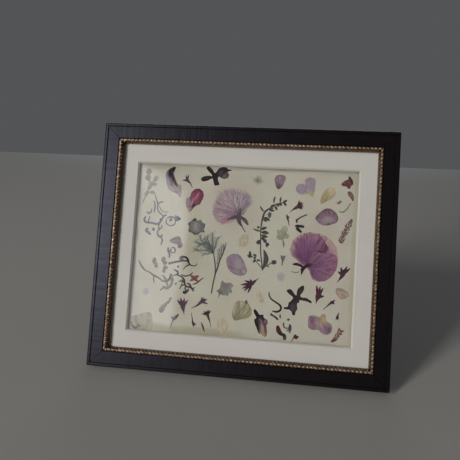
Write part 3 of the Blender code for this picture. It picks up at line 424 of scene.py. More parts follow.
# widths of a leaf from its base to its tip, as shares of the widest
LEAF_WIDTHS = (0.16, 0.55, 0.9, 1.0, 0.85, 0.5, 0.1)
# how far apart in depth crossing bracts and lobes lie, how far apart rays lie, and how thick a ray is
LAYER = 0.03
RAY_LAYER = 0.04
RAY_THICKNESS = 0.07
# rays in a tuft, and how far they spread from its middle in degrees
TUFT_RAYS = 6
TUFT_SPREAD = 2.6


class Drawing:
    """Collects points, faces and their growth and edge values, then becomes one object."""

    def __init__(self):
        self.points, self.faces, self.growth, self.edge = [], [], [], []

    def extend(self, points, faces, growth, edge):
        first = len(self.points)
        self.points += [tuple(p) for p in points]
        self.faces += [tuple(first + i for i in face) for face in faces]
        self.growth += list(growth)
        self.edge += list(edge)

    def finish(self, name, material, body="frame", replaces=(), slot=None):
        mesh = bpy.data.meshes.new(name)
        mesh.from_pydata(self.points, [], self.faces)
        mesh.transform(PLANE)
        corner = np.empty(len(mesh.loops), np.int32)
        mesh.loops.foreach_get("vertex_index", corner)
        growth = mesh.uv_layers.new(name="growth")
        growth.data.foreach_set("uv", np.array(self.growth, np.float32)[corner].ravel())
        edge = mesh.attributes.new("edge", "FLOAT", "POINT")
        edge.data.foreach_set("value", np.array(self.edge, np.float32))
        mesh.shade_smooth()
        mesh.set_sharp_from_angle(angle=SHARP_ANGLE)
        mesh.materials.append(material)
        made = bpy.data.objects.new(name, mesh)
        bpy.context.scene.collection.objects.link(made)
        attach(made, body)
        if replaces:
            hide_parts(*replaces)


def node_outline(node):
    """Front outline of a flat solid, as (x, up) points in order, anticlockwise."""
    bm = bmesh.new()
    bm.from_mesh(frame["nodes"][node].data)
    bmesh.ops.transform(bm, matrix=FROM_PLANE, verts=bm.verts)
    bmesh.ops.remove_doubles(bm, verts=bm.verts, dist=MERGE_REACH)
    front = min(v.co.y for v in bm.verts) + FRONT_REACH
    steps = {}
    for face in bm.faces:
        if all(v.co.y < front for v in face.verts):
            for loop in face.loops:
                other = loop.link_loop_radial_next.face
                if any(v.co.y > front for v in other.verts):
                    steps[loop.vert.index] = loop.link_loop_next.vert.index
    bm.verts.ensure_lookup_table()
    start = here = next(iter(steps))
    outline = []
    while here != start or not outline:
        outline.append((bm.verts[here].co.x, bm.verts[here].co.z))
        here = steps[here]
    bm.free()
    return outline


def pairs(run):
    """A run of x, up, x, up as points."""
    return list(zip(run[::2], run[1::2]))


def smoothed(points, rounds, closed=True):
    """The same curve with a point between each two, as often as asked.

    Each new point follows the two before it and the two after it, by the four-point rule.
    """
    for _ in range(rounds):
        count = len(points)
        finer = []
        for i in range(count if closed else count - 1):
            ids = [(i + k) % count if closed else min(max(i + k, 0), count - 1) for k in (-1, 0, 1, 2)]
            before, here, after, beyond = (Vector(points[j]) for j in ids)
            finer += [tuple(here), tuple((9 * (here + after) - before - beyond) / 16)]
        points = finer if closed else [*finer, tuple(points[-1])]
    return points


def ruffled(outline, amount, wave):
    """The outline moved in and out by a fine uneven wave, as a petal's margin is."""
    centre = sum((Vector(p) for p in outline), Vector((0.0, 0.0))) / len(outline)
    moved = []
    for x, up in outline:
        away = (Vector((x, up)) - centre).normalized()
        shift = noise.noise(Vector((x / wave, up / wave, RUFFLE_SLICE))) * amount
        moved.append((x + away.x * shift, up + away.y * shift))
    return moved


def evened(outline, step):
    """The outline with points about a step apart, its long sides split and its crowded points dropped."""
    even = []
    for i, here in enumerate(outline):
        after = outline[(i + 1) % len(outline)]
        if even and (Vector(here) - Vector(even[-1])).length < step * CROWDED:
            continue
        parts = max(1, round((Vector(after) - Vector(here)).length / step))
        even += [tuple(Vector(here).lerp(Vector(after), k / parts)) for k in range(parts)]
    return even


def add_petal(drawing, outline, base, tip, back=LYING, thickness=None, ripple=0.1):
    """A thin closed skin filled into an outline, with radial ridges from its base."""
    thickness = thickness or size("petal_thickness")
    step = size("petal_mesh")
    outline = evened(outline, step * RIM_STEP)
    loop = np.array(outline)
    after = np.roll(loop, -1, 0)
    area = np.sum(loop[:, 0] * after[:, 1] - after[:, 0] * loop[:, 1])
    if area < 0:
        outline, loop = outline[::-1], loop[::-1]
        after = np.roll(loop, -1, 0)
    span = after - loop

    def margin(points):
        offset = points[:, None] - loop[None]
        share = np.clip((offset * span).sum(2) / np.maximum((span ** 2).sum(1), 1e-9), 0, 1)
        return np.sqrt(((offset - share[..., None] * span) ** 2).sum(2)).min(1)

    def inside(points):
        x, up = points[:, 0, None], points[:, 1, None]
        rises = (loop[None, :, 1] > up) != (after[None, :, 1] > up)
        rise = np.where(np.abs(span[:, 1]) < 1e-9, 1e-9, span[:, 1])
        meets = loop[None, :, 0] + (up - loop[None, :, 1]) / rise[None] * span[None, :, 0]
        return (rises & (x < meets)).sum(1) % 2 == 1

    low, high = loop.min(0), loop.max(0)
    rows = np.arange(low[1], high[1], step * ROW_STEP)
    inner = np.array([
        (x + (step / 2 if j % 2 else 0.0), up)
        for j, up in enumerate(rows) for x in np.arange(low[0], high[0], step)])
    inner = inner[inside(inner)]
    inner = inner[margin(inner) > step * RIM_CLEAR]
    flat = [Vector(p) for p in outline] + [Vector(p) for p in inner]
    count = len(outline)
    rim = [(i, (i + 1) % count) for i in range(count)]
    points, _, faces, *_ = delaunay_2d_cdt(flat, rim, [], 1, 1e-5)
    _, _, back_faces, *_ = delaunay_2d_cdt(flat[:count], rim, [], 1, 1e-5)
    if len(points) != len(flat):
        raise ValueError("the outline crosses itself")
    flat = np.array(points)
    clear = margin(flat)
    clear[:count] = 0.0
    base, tip = Vector(base), Vector(tip)
    reach = (tip - base).length
    facing = math.atan2(tip.y - base.y, tip.x - base.x)
    front, growth = [], []
    for (x, up), distance in zip(flat, clear):
        away = Vector((x, up)) - base
        turn = (math.atan2(away.y, away.x) - facing + math.pi) % math.tau / math.tau
        u = away.length / reach
        growth.append((u, turn))
        swell = min(distance / MARGIN_WIDTH, 1.0)
        ridge = noise.noise(Vector((turn * RIDGES_ROUND, u * RIDGES_ALONG, reach))) * ripple * swell
        fold = Vector((x * CREASE_SCALE, up * CREASE_SCALE, CREASE_SLICE))
        crease = noise.noise(fold) * ripple * swell
        front.append((x, back - thickness * (RIM_SHARE + (1 - RIM_SHARE) * swell) - ridge - crease, up))
    rear = [(x, back, up) for x, up in flat[:count]]
    first = len(front)
    faces = [tuple(face) for face in faces]
    faces += [tuple(first + i for i in reversed(face)) for face in back_faces]
    faces += [(j, i, first + i, first + j) for i, j in rim]
    drawing.extend(front + rear, faces, growth + growth[:count], [*clear, *[0.0] * count])


def add_stroke(drawing, points, widths, back=LYING, thickness=None, rounds=2):
    """A flattened stem or narrow leaf along a curve, its widths spread evenly over the curve."""
    line = [Vector(p) for p in smoothed(points, rounds, closed=False)]
    steps = len(line)
    ring = len(STEM_SECTION) + 1
    outline = []
    for i, here in enumerate(line):
        ahead = (line[min(i + 1, steps - 1)] - line[max(i - 1, 0)]).normalized()
        across = Vector((-ahead.y, ahead.x))
        share = i / (steps - 1)
        width = float(np.interp(share, np.linspace(0, 1, len(widths)), widths))
        high = thickness or min(STEM_MOST, STEM_HEIGHT + width * STEM_RISE)
        for side, lift, v in STEM_SECTION:
            spot = here + across * side * width
            place = (spot.x, back - STEM_EDGE - lift * high, spot.y)
            outline.append((place, (share, v), width * (0.5 - abs(side))))
        outline.append(((here.x, back, here.y), (share, 0.5), 0.0))
    faces = []
    for i in range(steps - 1):
        for k in range(ring):
            a, b = ring * i + k, ring * i + (k + 1) % ring
            faces.append((a, b, b + ring, a + ring))
    faces.append(tuple(reversed(range(ring))))
    faces.append(tuple(range(ring * (steps - 1), ring * steps)))
    points, growth, edge = zip(*outline)
    drawing.extend(points, [face[::-1] for face in faces], growth, edge)


def add_leaf(drawing, base, tip, width, bend=0.0, back=LYING, rounds=2):
    """A small lens-shaped leaf, bent to its left by bend millimetres."""
    start, end = Vector(base), Vector(tip)
    along = (end - start).normalized()
    middle = start.lerp(end, 0.5) + Vector((-along.y, along.x)) * bend
    lens = [width * share for share in LEAF_WIDTHS]
    add_stroke(drawing, [base, tuple(middle), tip], lens, back, rounds=rounds)


# points round an oval
OVAL_POINTS = 20


def oval(x, up, across, along, turn):
    """Points of an oval, its long way turned anticlockwise from up."""
    angle = math.radians(turn)
    points = []
    for i in range(OVAL_POINTS):
        a = math.tau * i / OVAL_POINTS
        px, py = across * math.cos(a), along * math.sin(a)
        points.append((x + px * math.cos(angle) - py * math.sin(angle),
                       up + px * math.sin(angle) + py * math.cos(angle)))
    return points


def add_bracts(drawing, run, widths, count, reach, chance):
    """Small overlapping bracts up both sides of a stalk, as on a plantain spike."""
    curve = smoothed(pairs(run), 3, closed=False)
    for i in range(count):
        share = i / (count - 1)
        k = min(int(share * len(curve)), len(curve) - 2)
        here = Vector(curve[k])
        ahead = (Vector(curve[k + 1]) - here).normalized()
        across = Vector((-ahead.y, ahead.x)) * (1 if i % 2 else -1)
        wide = float(np.interp(share, np.linspace(0, 1, len(widths)), widths)) / 2
        start = here + across * wide * chance.uniform(-0.1, 0.5)
        end = start + across * wide * 0.5 + ahead * reach * chance.uniform(0.4, 1.0)
        add_leaf(drawing, tuple(start), tuple(end), reach * chance.uniform(0.3, 0.5),
                 back=LYING - LAYER * (i % 4), rounds=1)


def add_rays(drawing, base, outline, count, facing, spread, back, chance):
    """Fine rays in tufts from a base to an outline.

    Most tufts lie within the spread, in degrees, to either side of the facing.
    """
    base = Vector(base)
    reach = [Vector(p) - base for p in outline]
    angles, lengths = zip(*sorted((math.atan2(r.y, r.x), r.length) for r in reach))
    tufts = [(chance.gauss(facing, spread), chance.uniform(0.76, 1.03)) for _ in range(count // TUFT_RAYS)]
    for i in range(count):
        middle, share = tufts[i % len(tufts)]
        angle = (math.radians(chance.gauss(middle, TUFT_SPREAD)) + math.pi) % math.tau - math.pi
        far = float(np.interp(angle, angles, lengths, period=math.tau)) * share * chance.uniform(0.8, 1.03)
        near = far * chance.uniform(0.15, 0.7)
        bend = chance.uniform(-0.22, 0.22)
        ray = []
        for along in (0.0, 0.5, 1.0):
            way = angle + bend * along
            ray.append(base + Vector((math.cos(way), math.sin(way))) * (near + (far - near) * along))
        wide = chance.uniform(0.3, 0.85)
        add_stroke(drawing, [tuple(p) for p in ray], (wide * 0.4, wide, wide * 0.8, wide * 0.2),
                   back=back - RAY_LAYER * (i % 3), thickness=RAY_THICKNESS, rounds=0)


# ---------------------------------------------------------------- finishes of the specimens
# finish: (slot, colours from base to tip, veins as (share, count), edge as (colour, width, share), patches)
DRIED = {
    "folded lilac petal": (
        "lilac_petal", "#CBBDA9 #C6B6B8 #B7A3B1 #8A7686", (0.4, 40), ("#6E5A6A", 0.7, 0.6), (
            (-73.9, 77.6, 4.4, 3.2, -30, "#120A0E", 1.0), (-76.9, 73.0, 2.5, 5.6, 6, "#160D13", 1.0),
            (-74.3, 70.5, 1.5, 7.0, 12, "#1C1418", 0.95), (-72.1, 66.2, 1.6, 6.4, 25, "#262022", 0.9),
            (-75.2, 65.4, 1.8, 6.4, 16, "#6A5868", 0.65), (-69.9, 62.3, 1.2, 3.0, 40, "#3A3030", 0.85),
            (-69.9, 54.6, 1.5, 1.0, 0, "#6E6648", 0.7), (-66.2, 58.5, 1.0, 4.4, -4, "#9C8E8A", 0.6))),
    "crimson petal": (
        "magenta_petal", "#CDBEA6 #AE6E84 #9A4666 #86324E", (0.5, 34), ("#4E1426", 1.5, 0.85), (
            (-57.2, 45.8, 3.2, 5.6, 8, "#B9A4B0", 1.0), (-56.4, 37.4, 2.8, 3.0, 0, "#C9B8A0", 1.0),
            (-48.2, 51.6, 1.3, 5.2, -24, "#C596A4", 0.85), (-52.6, 45.6, 1.0, 4.4, -16, "#CBA9B6", 0.8),
            (-50.9, 42.6, 1.3, 3.0, -30, "#4C1A2C", 0.9), (-53.5, 52.6, 2.2, 3.6, -12, "#A0607E", 0.7))),
    "mauve petal": (
        "magenta_petal", "#64505A #8C747E #B89CA8 #A48A8E", (0.5, 40), ("#907880", 1.1, 0.6), ()),
    "lilac viola petal": (
        "lilac_petal", "#CEC4A8 #C2B2BE #C0ADBE #B6A6B8", (0.4, 44), ("#C6BABA", 1.4, 0.55), (
            (62.3, 59.6, 4.0, 2.0, 0, "#D8CC8C", 0.95), (63.6, 57.4, 1.8, 1.6, 0, "#C8BC94", 0.8),
            (57.6, 64.0, 0.9, 4.6, -24, "#9C8AA0", 0.6))),
    "cream petal": (
        "cream_petal", "#CBB580 #D3C294 #DACCA8", (0.5, 30), ("#C4B084", 0.9, 0.5), ()),
    "dusky petal": (
        "magenta_petal", "#90747E #B299A4 #9C7E8A #7E5E6C", (0.55, 46), ("#765868", 1.3, 0.6), (
            (81.0, 30.4, 0.8, 2.8, 0, "#5C4852", 0.85), (80.5, 35.4, 5.0, 3.2, 0, "#C6B2BA", 0.6))),
    "magenta skin": (
        "magenta_petal", "#8E5E7C #A87C90 #BC929C #D2B0AE", (0.9, 110), ("#D8BCB4", 2.0, 0.6), (
            (48.6, 4.0, 2.0, 6.0, -6, "#D0B0B2", 0.8), (87.5, 10.0, 4.6, 10.0, 40, "#D9C0B6", 0.7))),
    "magenta petal": (
        "magenta_petal", "#6A3C64 #8E5E86 #98688C #AA7892", (0.85, 90), ("#B4788C", 2.6, 0.6), (
            (60.0, 10.0, 8.0, 8.0, 0, "#84608E", 0.5), (78.5, 9.6, 3.6, 7.4, -14, "#7C4668", 0.65),
            (54.8, 0.4, 1.2, 6.4, 37, "#4C2642", 0.9), (52.6, 6.0, 0.8, 4.6, 14, "#5C3052", 0.7),
            (63.0, 14.5, 1.0, 6.0, -20, "#A67E9A", 0.5), (71.0, 12.0, 1.0, 7.0, -38, "#7A4E74", 0.5),
            # the two patches on the next line are painted shade of the fold along the upper lobe's lower and
            # right edge
            (77.0, 4.1, 6.4, 1.0, -6, "#522648", 0.9), (80.6, 8.4, 1.8, 5.0, -12, "#6E3A60", 0.8),
            (65.5, -8.8, 4.6, 1.9, 6, "#3E1C38", 0.95),
            (78.0, -3.8, 12.0, 0.8, 20, "#C8A2AE", 0.7), (80.0, -6.4, 12.0, 0.8, 11, "#5A2C52", 0.7),
            (80.0, -8.7, 12.0, 0.8, 3, "#BE98A8", 0.6), (80.5, -11.0, 11.0, 0.9, -6, "#643456", 0.6),
            (78.5, -13.8, 10.0, 0.9, -16, "#BC94A6", 0.5), (84.0, 0.6, 6.0, 0.8, 24, "#6A3A5C", 0.6),
            (77.5, -19.5, 8.0, 3.4, -20, "#B08498", 0.5), (68.6, -16.0, 1.0, 5.0, 14, "#7E5074", 0.5))),
    "lavender petal": (
        "lilac_petal", "#9A7C92 #BBA9B4 #B39FAE #A68EA2", (0.4, 30), ("#8E7088", 1.3, 0.65), (
            # the second patch on the next line is a painted highlight
            (-2.0, -12.0, 5.5, 5.5, 0, "#C4B8BC", 0.7), (3.2, -19.5, 1.6, 2.4, 20, "#D2C6CA", 0.8),
            (1.0, -10.0, 1.0, 2.0, 10, "#94808E", 0.6), (-8.6, -17.5, 2.4, 6.0, 30, "#9A7A96", 0.5))),
    "olive petal": (
        "olive_petal", "#A09878 #B2AA88 #BAB392 #C2BC9E", (0.6, 40), ("#A09670", 1.0, 0.5), (
            (7.4, -48.8, 1.5, 2.0, 10, "#68686C", 0.95), (-4.4, -55.4, 2.4, 7.0, 6, "#D2CEB6", 0.75),
            (10.6, -56.4, 2.2, 6.0, -16, "#A49C68", 0.6), (1.4, -57.0, 0.5, 9.0, 4, "#958D69", 0.6),
            (4.8, -57.0, 0.5, 9.0, -8, "#968E66", 0.6), (-1.6, -64.5, 4.4, 2.6, -10, "#A09878", 0.5))),
    "beige petal": (
        "cream_petal", "#C5B19C #CCB6A2 #C9B597", (0.35, 24), ("#B7A286", 1.0, 0.5), ()),
    "purple viola petal": (
        "magenta_petal", "#CDB890 #BDA4A0 #AE939B #A68894", (0.6, 44), ("#B6A0A6", 1.3, 0.5), (
            (82.0, -59.6, 2.6, 3.4, 0, "#D8C282", 0.95), (70.8, -61.0, 2.6, 4.6, 10, "#8A6280", 0.75),
            (87.3, -68.4, 1.4, 2.2, 0, "#66405E", 0.95), (86.2, -69.0, 4.0, 4.4, 0, "#94708C", 0.6),
            (79.4, -64.0, 2.4, 3.6, 0, "#CBB29A", 0.8), (75.8, -64.0, 0.9, 5.6, 10, "#C2AEB4", 0.6),
            (72.0, -67.0, 2.8, 2.6, 0, "#9E7E94", 0.6), (82.6, -65.6, 0.8, 4.4, 30, "#8C6C80", 0.6))),
    "glassy petal": (
        "olive_petal", "#B4A97C #C2BC9E #CCC6B2", (0.35, 20), ("#A99F76", 0.9, 0.5), (
            (-106.0, -77.4, 3.0, 1.5, 35, "#A08A4C", 0.9), (-102.6, -80.4, 0.9, 3.2, 50, "#2C2A1E", 0.95),
            (-99.6, -81.2, 0.9, 2.0, -50, "#38322A", 0.9), (-97.4, -79.2, 2.6, 1.7, 0, "#75697C", 0.85),
            (-92.0, -72.0, 6.0, 4.0, 20, "#D2CCBC", 0.5))),
    "grey rosette leaf": (
        "grey_leaf", "#A6A39C #A29E98 #848080 #6E686A", (0.5, 50), ("#6C666A", 1.7, 0.7), (
            (-48.8, 28.2, 1.5, 1.7, 0, "#3C3630", 0.95), (-50.0, 14.2, 1.4, 1.1, 0, "#38322E", 0.95),
            (-41.6, 20.5, 2.6, 6.0, 0, "#7A7476", 0.55), (-47.2, 21.5, 0.8, 5.6, 4, "#CAC6BE", 0.7),
            (-54.0, 25.0, 2.0, 1.8, 0, "#747072", 0.7), (-44.0, 25.5, 1.2, 3.0, -40, "#8C8688", 0.6))),
    "pale clover leaf": (
        "grey_leaf", "#B0AE94 #B8BA9C #C0C2A8", (0.5, 30), ("#98977E", 0.9, 0.5), (
            (40.3, 9.5, 1.3, 3.5, 0, "#8C7C6A", 0.9),)),
    "grey clover leaf": (
        "grey_leaf", "#96968A #9E9E90 #A49E9C", (0.55, 34), ("#787870", 1.1, 0.55), (
            (-13.6, -33.4, 4.6, 2.4, 8, "#978A92", 0.8), (-18.6, -41.0, 3.4, 2.2, 0, "#727468", 0.8),
            (-10.0, -39.6, 2.4, 2.4, 0, "#AAA89F", 0.6), (-21.0, -44.6, 0.9, 2.4, -20, "#9C9880", 0.8))),
    "red-brown bract": (
        "red_brown_petal", "#4C2C2E #8A5454 #B07C76", (0.8, 12), ("#6E4844", 0.4, 0.5), ()),
    "pink bract": ("lilac_petal", "#85746E #9F8B84 #B5A59A", (0.8, 12), ("#8C7A74", 0.4, 0.4), ()),
    "dark red bud": (
        "red_brown_petal", "#6A6450 #3A3022 #4A1A12 #74221A #541A14", (0.6, 18), ("#381410", 0.8, 0.6), ()),
    "blackened petal": (
        "dark_petal", "#3A282A #322325 #281C1E", (0.6, 40), ("#151012", 0.7, 0.6), (
            (-21.4, 72.6, 3.4, 2.8, 20, "#92777A", 0.95), (-25.6, 75.6, 3.0, 4.0, -20, "#54454C", 0.9),
            (-20.2, 76.0, 2.0, 2.0, 0, "#6A5856", 0.75), (52.2, -50.4, 3.4, 4.6, -8, "#57464E", 0.95),
            (58.6, -33.8, 0.9, 3.4, -20, "#4E3A40", 0.75), (49.6, -37.2, 2.8, 0.8, -32, "#4A363C", 0.75),
            (-36.6, 79.6, 0.8, 3.4, 24, "#4E4540", 0.75), (-39.8, 69.8, 3.2, 0.8, 8, "#4C4540", 0.75),
            (-29.6, 67.0, 0.8, 3.4, 10, "#483E3A", 0.65), (56.0, -45.0, 1.6, 0.6, 0, "#54424A", 0.7))),
    "folded dark petal": (
        "dark_petal", "#BCA680 #7A5C58 #2C1C1E #1E1612", (0.5, 30), ("#1E1412", 0.7, 0.6), (
            (24.4, -73.0, 1.9, 7.0, 10, "#BFA394", 1.0), (26.3, -79.0, 1.5, 3.0, 10, "#C6AE80", 1.0),
            (18.9, -70.2, 2.2, 8.6, 15, "#0E0A08", 1.0), (16.8, -59.2, 1.9, 5.0, 18, "#100B0A", 1.0),
            (23.4, -61.6, 3.2, 1.5, -10, "#42152C", 1.0), (27.0, -65.6, 1.9, 2.6, 20, "#92708A", 0.95),
            (22.6, -65.2, 0.9, 3.4, 34, "#9A7C8C", 0.9), (28.8, -68.6, 0.8, 3.4, -14, "#5C3E50", 0.85),
            (22.0, -72.0, 0.5, 6.0, 12, "#7E6460", 0.7))),
    "oxblood petal": (
        "red_brown_petal", "#845048 #74383E #5A2A32", (0.6, 26), ("#421A22", 0.8, 0.6), (
            (94.2, 71.5, 2.2, 1.4, 10, "#98624E", 0.8), (101.2, 74.0, 1.6, 3.8, 0, "#4E242C", 0.8),
            (98.4, 72.5, 1.6, 2.0, 0, "#9A5E58", 0.5))),
    "wine floret": (
        "magenta_petal", "#6E5A54 #5C263C #60203E #6A2C4A", (0.7, 12), ("#3E1430", 0.7, 0.6), ()),
    "plum floret": (
        "magenta_petal", "#766660 #5E4054 #6A4660 #74526A", (0.7, 12), ("#48304A", 0.6, 0.5), ()),
    "lilac petal ground": (
        "lilac_petal", "#806078 #AE92A8 #C6AAB6 #D6C4C0", (0.9, 110), ("#E0D6C8", 5.0, 0.8), (
            (-26.5, 33.5, 5.4, 7.6, 20, "#D2A6B2", 0.65), (-20.4, 27.0, 4.6, 2.6, 10, "#CE9DB0", 0.75),
            (-10.9, 50.2, 2.2, 3.8, 24, "#9A88A4", 0.8), (-13.0, 42.4, 3.0, 6.0, 16, "#E0D7CC", 0.85),
            (-13.8, 32.6, 5.6, 2.4, 22, "#84667C", 0.95), (0.0, 46.0, 3.4, 5.0, 0, "#BAA6B6", 0.6),
            (-14.0, 57.0, 8.0, 3.4, 0, "#C0A6B6", 0.5), (-19.0, 40.0, 1.4, 5.0, 50, "#B796AC", 0.6))),
    "pale filament": ("lilac_petal", "#CFC2C0 #E0D6D0 #E6DCD2", (0.3, 8), ("#D8CCC4", 0.1, 0.2), ()),
    "pink filament": ("lilac_petal", "#AA7C94 #C48EA4 #D8B0B8", (0.3, 8), ("#BE9CA8", 0.1, 0.2), ()),
    "magenta vein": ("magenta_petal", "#6E4268 #966090 #B07290", (0.3, 8), ("#6E3E66", 0.1, 0.2), ()),
    "rose vein": ("magenta_petal", "#8E6488 #A87698 #C090A4", (0.3, 8), ("#A87E98", 0.1, 0.2), ()),
    "purple filament": ("lilac_petal", "#8A7490 #A68EAC #C4B0C0", (0.3, 8), ("#8C7690", 0.1, 0.2), ()),
    "trumpet calyx": ("magenta_petal", "#64585A #6C5E62 #7C6E6C", (0.6, 10), ("#564650", 0.5, 0.4), ()),
    "plum calyx": ("magenta_petal", "#2E1426 #38182E #42263A", (0.5, 8), ("#1E0C1A", 0.4, 0.4), ()),
    "dark stem": ("dried_leaf", "#2A261F #241E18 #2C261F"),
    "olive stem": ("olive_petal", "#8A8266 #8E866A #7E765C"),
    "dark leaf": ("dried_leaf", "#24241E #28281F #2E2D26"),
    "sprig stem": ("dried_leaf", "#52544A #5C5E52 #626456"),
    "sprig leaf": ("dried_leaf", "#4A4D3E #55584A #66685A", (0.5, 8), ("#3A3C32", 0.4, 0.4), ()),
    "lichen leaf": ("dried_leaf", "#6C665A #767064 #827C70", (0.6, 5), ("#5C5850", 0.3, 0.3), ()),
    "pale lichen": ("dried_leaf", "#8A867C #948E86 #9A948A", (0.6, 5), ("#7A766C", 0.3, 0.3), ()),
    "grey tendril": ("dried_leaf", "#76767A #7E7E80 #88868A", (0.6, 5), ("#6A6A6C", 0.3, 0.3), ()),
    "weathered twig": ("dried_leaf", "#7C7E76 #686A62 #34322B #2A2620"),
    "fennel stem": ("dried_leaf", "#52564A #5A5C50 #646A60"),
    "fennel hair": ("dried_leaf", "#606C66 #707C76 #889286"),
    "tangle leaf": ("dried_leaf", "#3E4236 #474B40 #52554A"),
    "faded leaf": ("grey_leaf", "#A4A493 #AFAF9E #BABAA9", (0.4, 8), ("#C4C2B2", 1.2, 0.5), ()),
    "star leaf": ("grey_leaf", "#A6A888 #BCBCA0 #CECCB6"),
    "ashen bud": ("grey_leaf", "#5A5A5C #64646A #6C6A70"),
    "heart bud": ("grey_leaf", "#5E665E #76807C #8A948E"),
    "blue-black bud": ("dark_petal", "#4E4E54 #4A4858 #565264", (0.5, 6), ("#3A3A48", 0.4, 0.4), ()),
    "purple bud": ("magenta_petal", "#54424C #5E4A56 #6A5660", (0.5, 8), ("#44343E", 0.5, 0.4), ()),
    "grey bud": ("lilac_petal", "#7C7480 #8A8090 #968C98", (0.4, 8), ("#706878", 0.5, 0.4), ()),
    "red floret": ("red_brown_petal", "#86504E #94605C #A27872", (0.6, 6), ("#6A3C3C", 0.4, 0.4), ()),
    "brown leaf": ("olive_petal", "#8A6A5C #A37E6C #94715F", (0.6, 6), ("#65523F", 0.5, 0.4), ()),
    "faint lilac petal": (
        "lilac_petal", "#C6BBC0 #CCC2C4 #D6CDC8", (0.3, 20), ("#E0D8CA", 2.4, 0.85), ()),
    "faint cream petal": (
        "cream_petal", "#DDCFA8 #E0D5B6 #E2D8BE", (0.3, 20), ("#E3DAC2", 1.6, 0.6), ()),
    "dusty rose petal": (
        "lilac_petal", "#8E7C72 #9C8A80 #A4948A", (0.6, 24), ("#B8AA9C", 1.0, 0.5), (
            (-61.8, 1.4, 1.8, 1.7, 0, "#65562C", 0.95), (-62.6, 8.4, 2.0, 2.6, 0, "#85706C", 0.7),
            (-69.6, 5.6, 3.0, 1.6, 20, "#AE9A86", 0.7))),
}


def dried_finish(name):
    """The finish of that name, made when it is first asked for."""
    return bpy.data.materials.get(name) or dried(name, *DRIED[name][1:])


def finish_specimen(drawing, name, finish, replaces=()):
    drawing.finish(name, dried_finish(finish), "frame", replaces, DRIED[finish][0])


# ---------------------------------------------------------------- specimens that lie on solids
# solid: (finish, base, tip, rounds of smoothing, ruffle)
PETALS = {
    "folded_petal": ("folded lilac petal", (-64.5, 49.0), (-76.0, 80.0), 1, 0.3),
    "crimson_petal": ("crimson petal", (-55.5, 34.0), (-46.0, 59.0), 1, 0.7),
    "round_purple_petal": ("mauve petal", (31.5, 61.0), (34.0, 76.0), 1, 0.4),
    "lilac_viola_petals": ("lilac viola petal", (63.5, 57.0), (56.0, 72.0), 1, 0.4),
    "cream_teardrop_petal": ("cream petal", (72.5, 49.0), (82.0, 66.0), 1, 0.3),
    "dark_purple_fan_petal": ("dusky petal", (81.0, 28.5), (78.0, 46.0), 1, 0.4),
    "magenta_flower_petals": ("magenta skin", (61.0, -12.0), (80.0, 20.0), 2, 0.7),
    "purple_oval_petal": ("lavender petal", (5.5, -24.0), (-12.0, -4.0), 1, 0.3),
    "olive_shell_petal": ("olive petal", (-3.0, -68.0), (6.0, -47.0), 1, 0.3),
    "beige_petal": ("beige petal", (91.0, -31.0), (104.0, -37.0), 1, 0.4),
    "purple_viola_petals": ("purple viola petal", (81.0, -58.5), (76.0, -72.0), 1, 0.4),
    "translucent_petal": ("glassy petal", (-94.0, -86.0), (-94.0, -66.0), 1, 0.3),
    "grey_purple_rosette": ("grey rosette leaf", (-47.0, 21.5), (-40.0, 29.0), 1, 1.3),
    "pale_clover_leaf": ("pale clover leaf", (39.6, 14.0), (40.0, 26.5), 1, 0.5),
    "grey_clover_leaf": ("grey clover leaf", (-15.5, -36.5), (-9.0, -31.0), 1, 0.7),
    "red_bud": ("dark red bud", (46.5, -81.0), (38.5, -68.0), 1, 0.2),
    "dark_spurred_flower": ("blackened petal", (-31.5, 71.5), (-38.0, 82.0), 2, 0.9),
    "dark_orchid_flower": ("blackened petal", (56.0, -41.5), (50.0, -57.0), 2, 0.9),
    "dark_folded_petal": ("folded dark petal", (23.0, -80.0), (17.0, -55.0), 2, 0.4),
    "red_brown_flower": ("oxblood petal", (97.5, 68.0), (98.0, 78.0), 2, 0.4),
}
# solid: (finish, line of the stalk, widths, bracts, length of a bract)
SPIKES = {
    "red_brown_spike": ("red-brown bract", (93.2, 13.8, 96.2, 21.5, 99.2, 29.0, 102.6, 36.0),
                        (4.8, 7.6, 6.6, 1.6), 78, 2.3),
    "small_red_spike": ("red-brown bract", (89.4, -79.6, 93.6, -76.4, 98.0, -68.4), (1.6, 5.0, 6.4), 60, 2.4),
    "pink_spike": ("pink bract", (-76.8, -64.6, -75.2, -61.2, -71.8, -57.0, -67.0, -50.4),
                   (5.4, 6.4, 4.6, 1.4), 52, 2.2),
}
# where the petals of the two big flowers spring from
LILAC_BASE = (-5.5, 35.0)
MAGENTA_BASE = (62.5, -11.0)
# the lilac flower's ground: its share of the solid's reach, and its tip
GROUND_SHARE = 0.94
GROUND_TIP = (-20.0, 60.0)
# filaments and raised veins: flower, base, finish, how many, where they point and spread in degrees, and back
RAYS = (
    ("lilac_flower_petals", LILAC_BASE, "pink filament", 190, 176.0, 36.0, 13.32),
    ("lilac_flower_petals", LILAC_BASE, "pale filament", 150, 124.0, 42.0, 13.28),
    ("lilac_flower_petals", LILAC_BASE, "purple filament", 220, 118.0, 42.0, 13.3),
    ("magenta_flower_petals", MAGENTA_BASE, "magenta vein", 100, 48.0, 44.0, 12.92),
    ("magenta_flower_petals", MAGENTA_BASE, "rose vein", 66, 8.0, 34.0, 12.9),
)
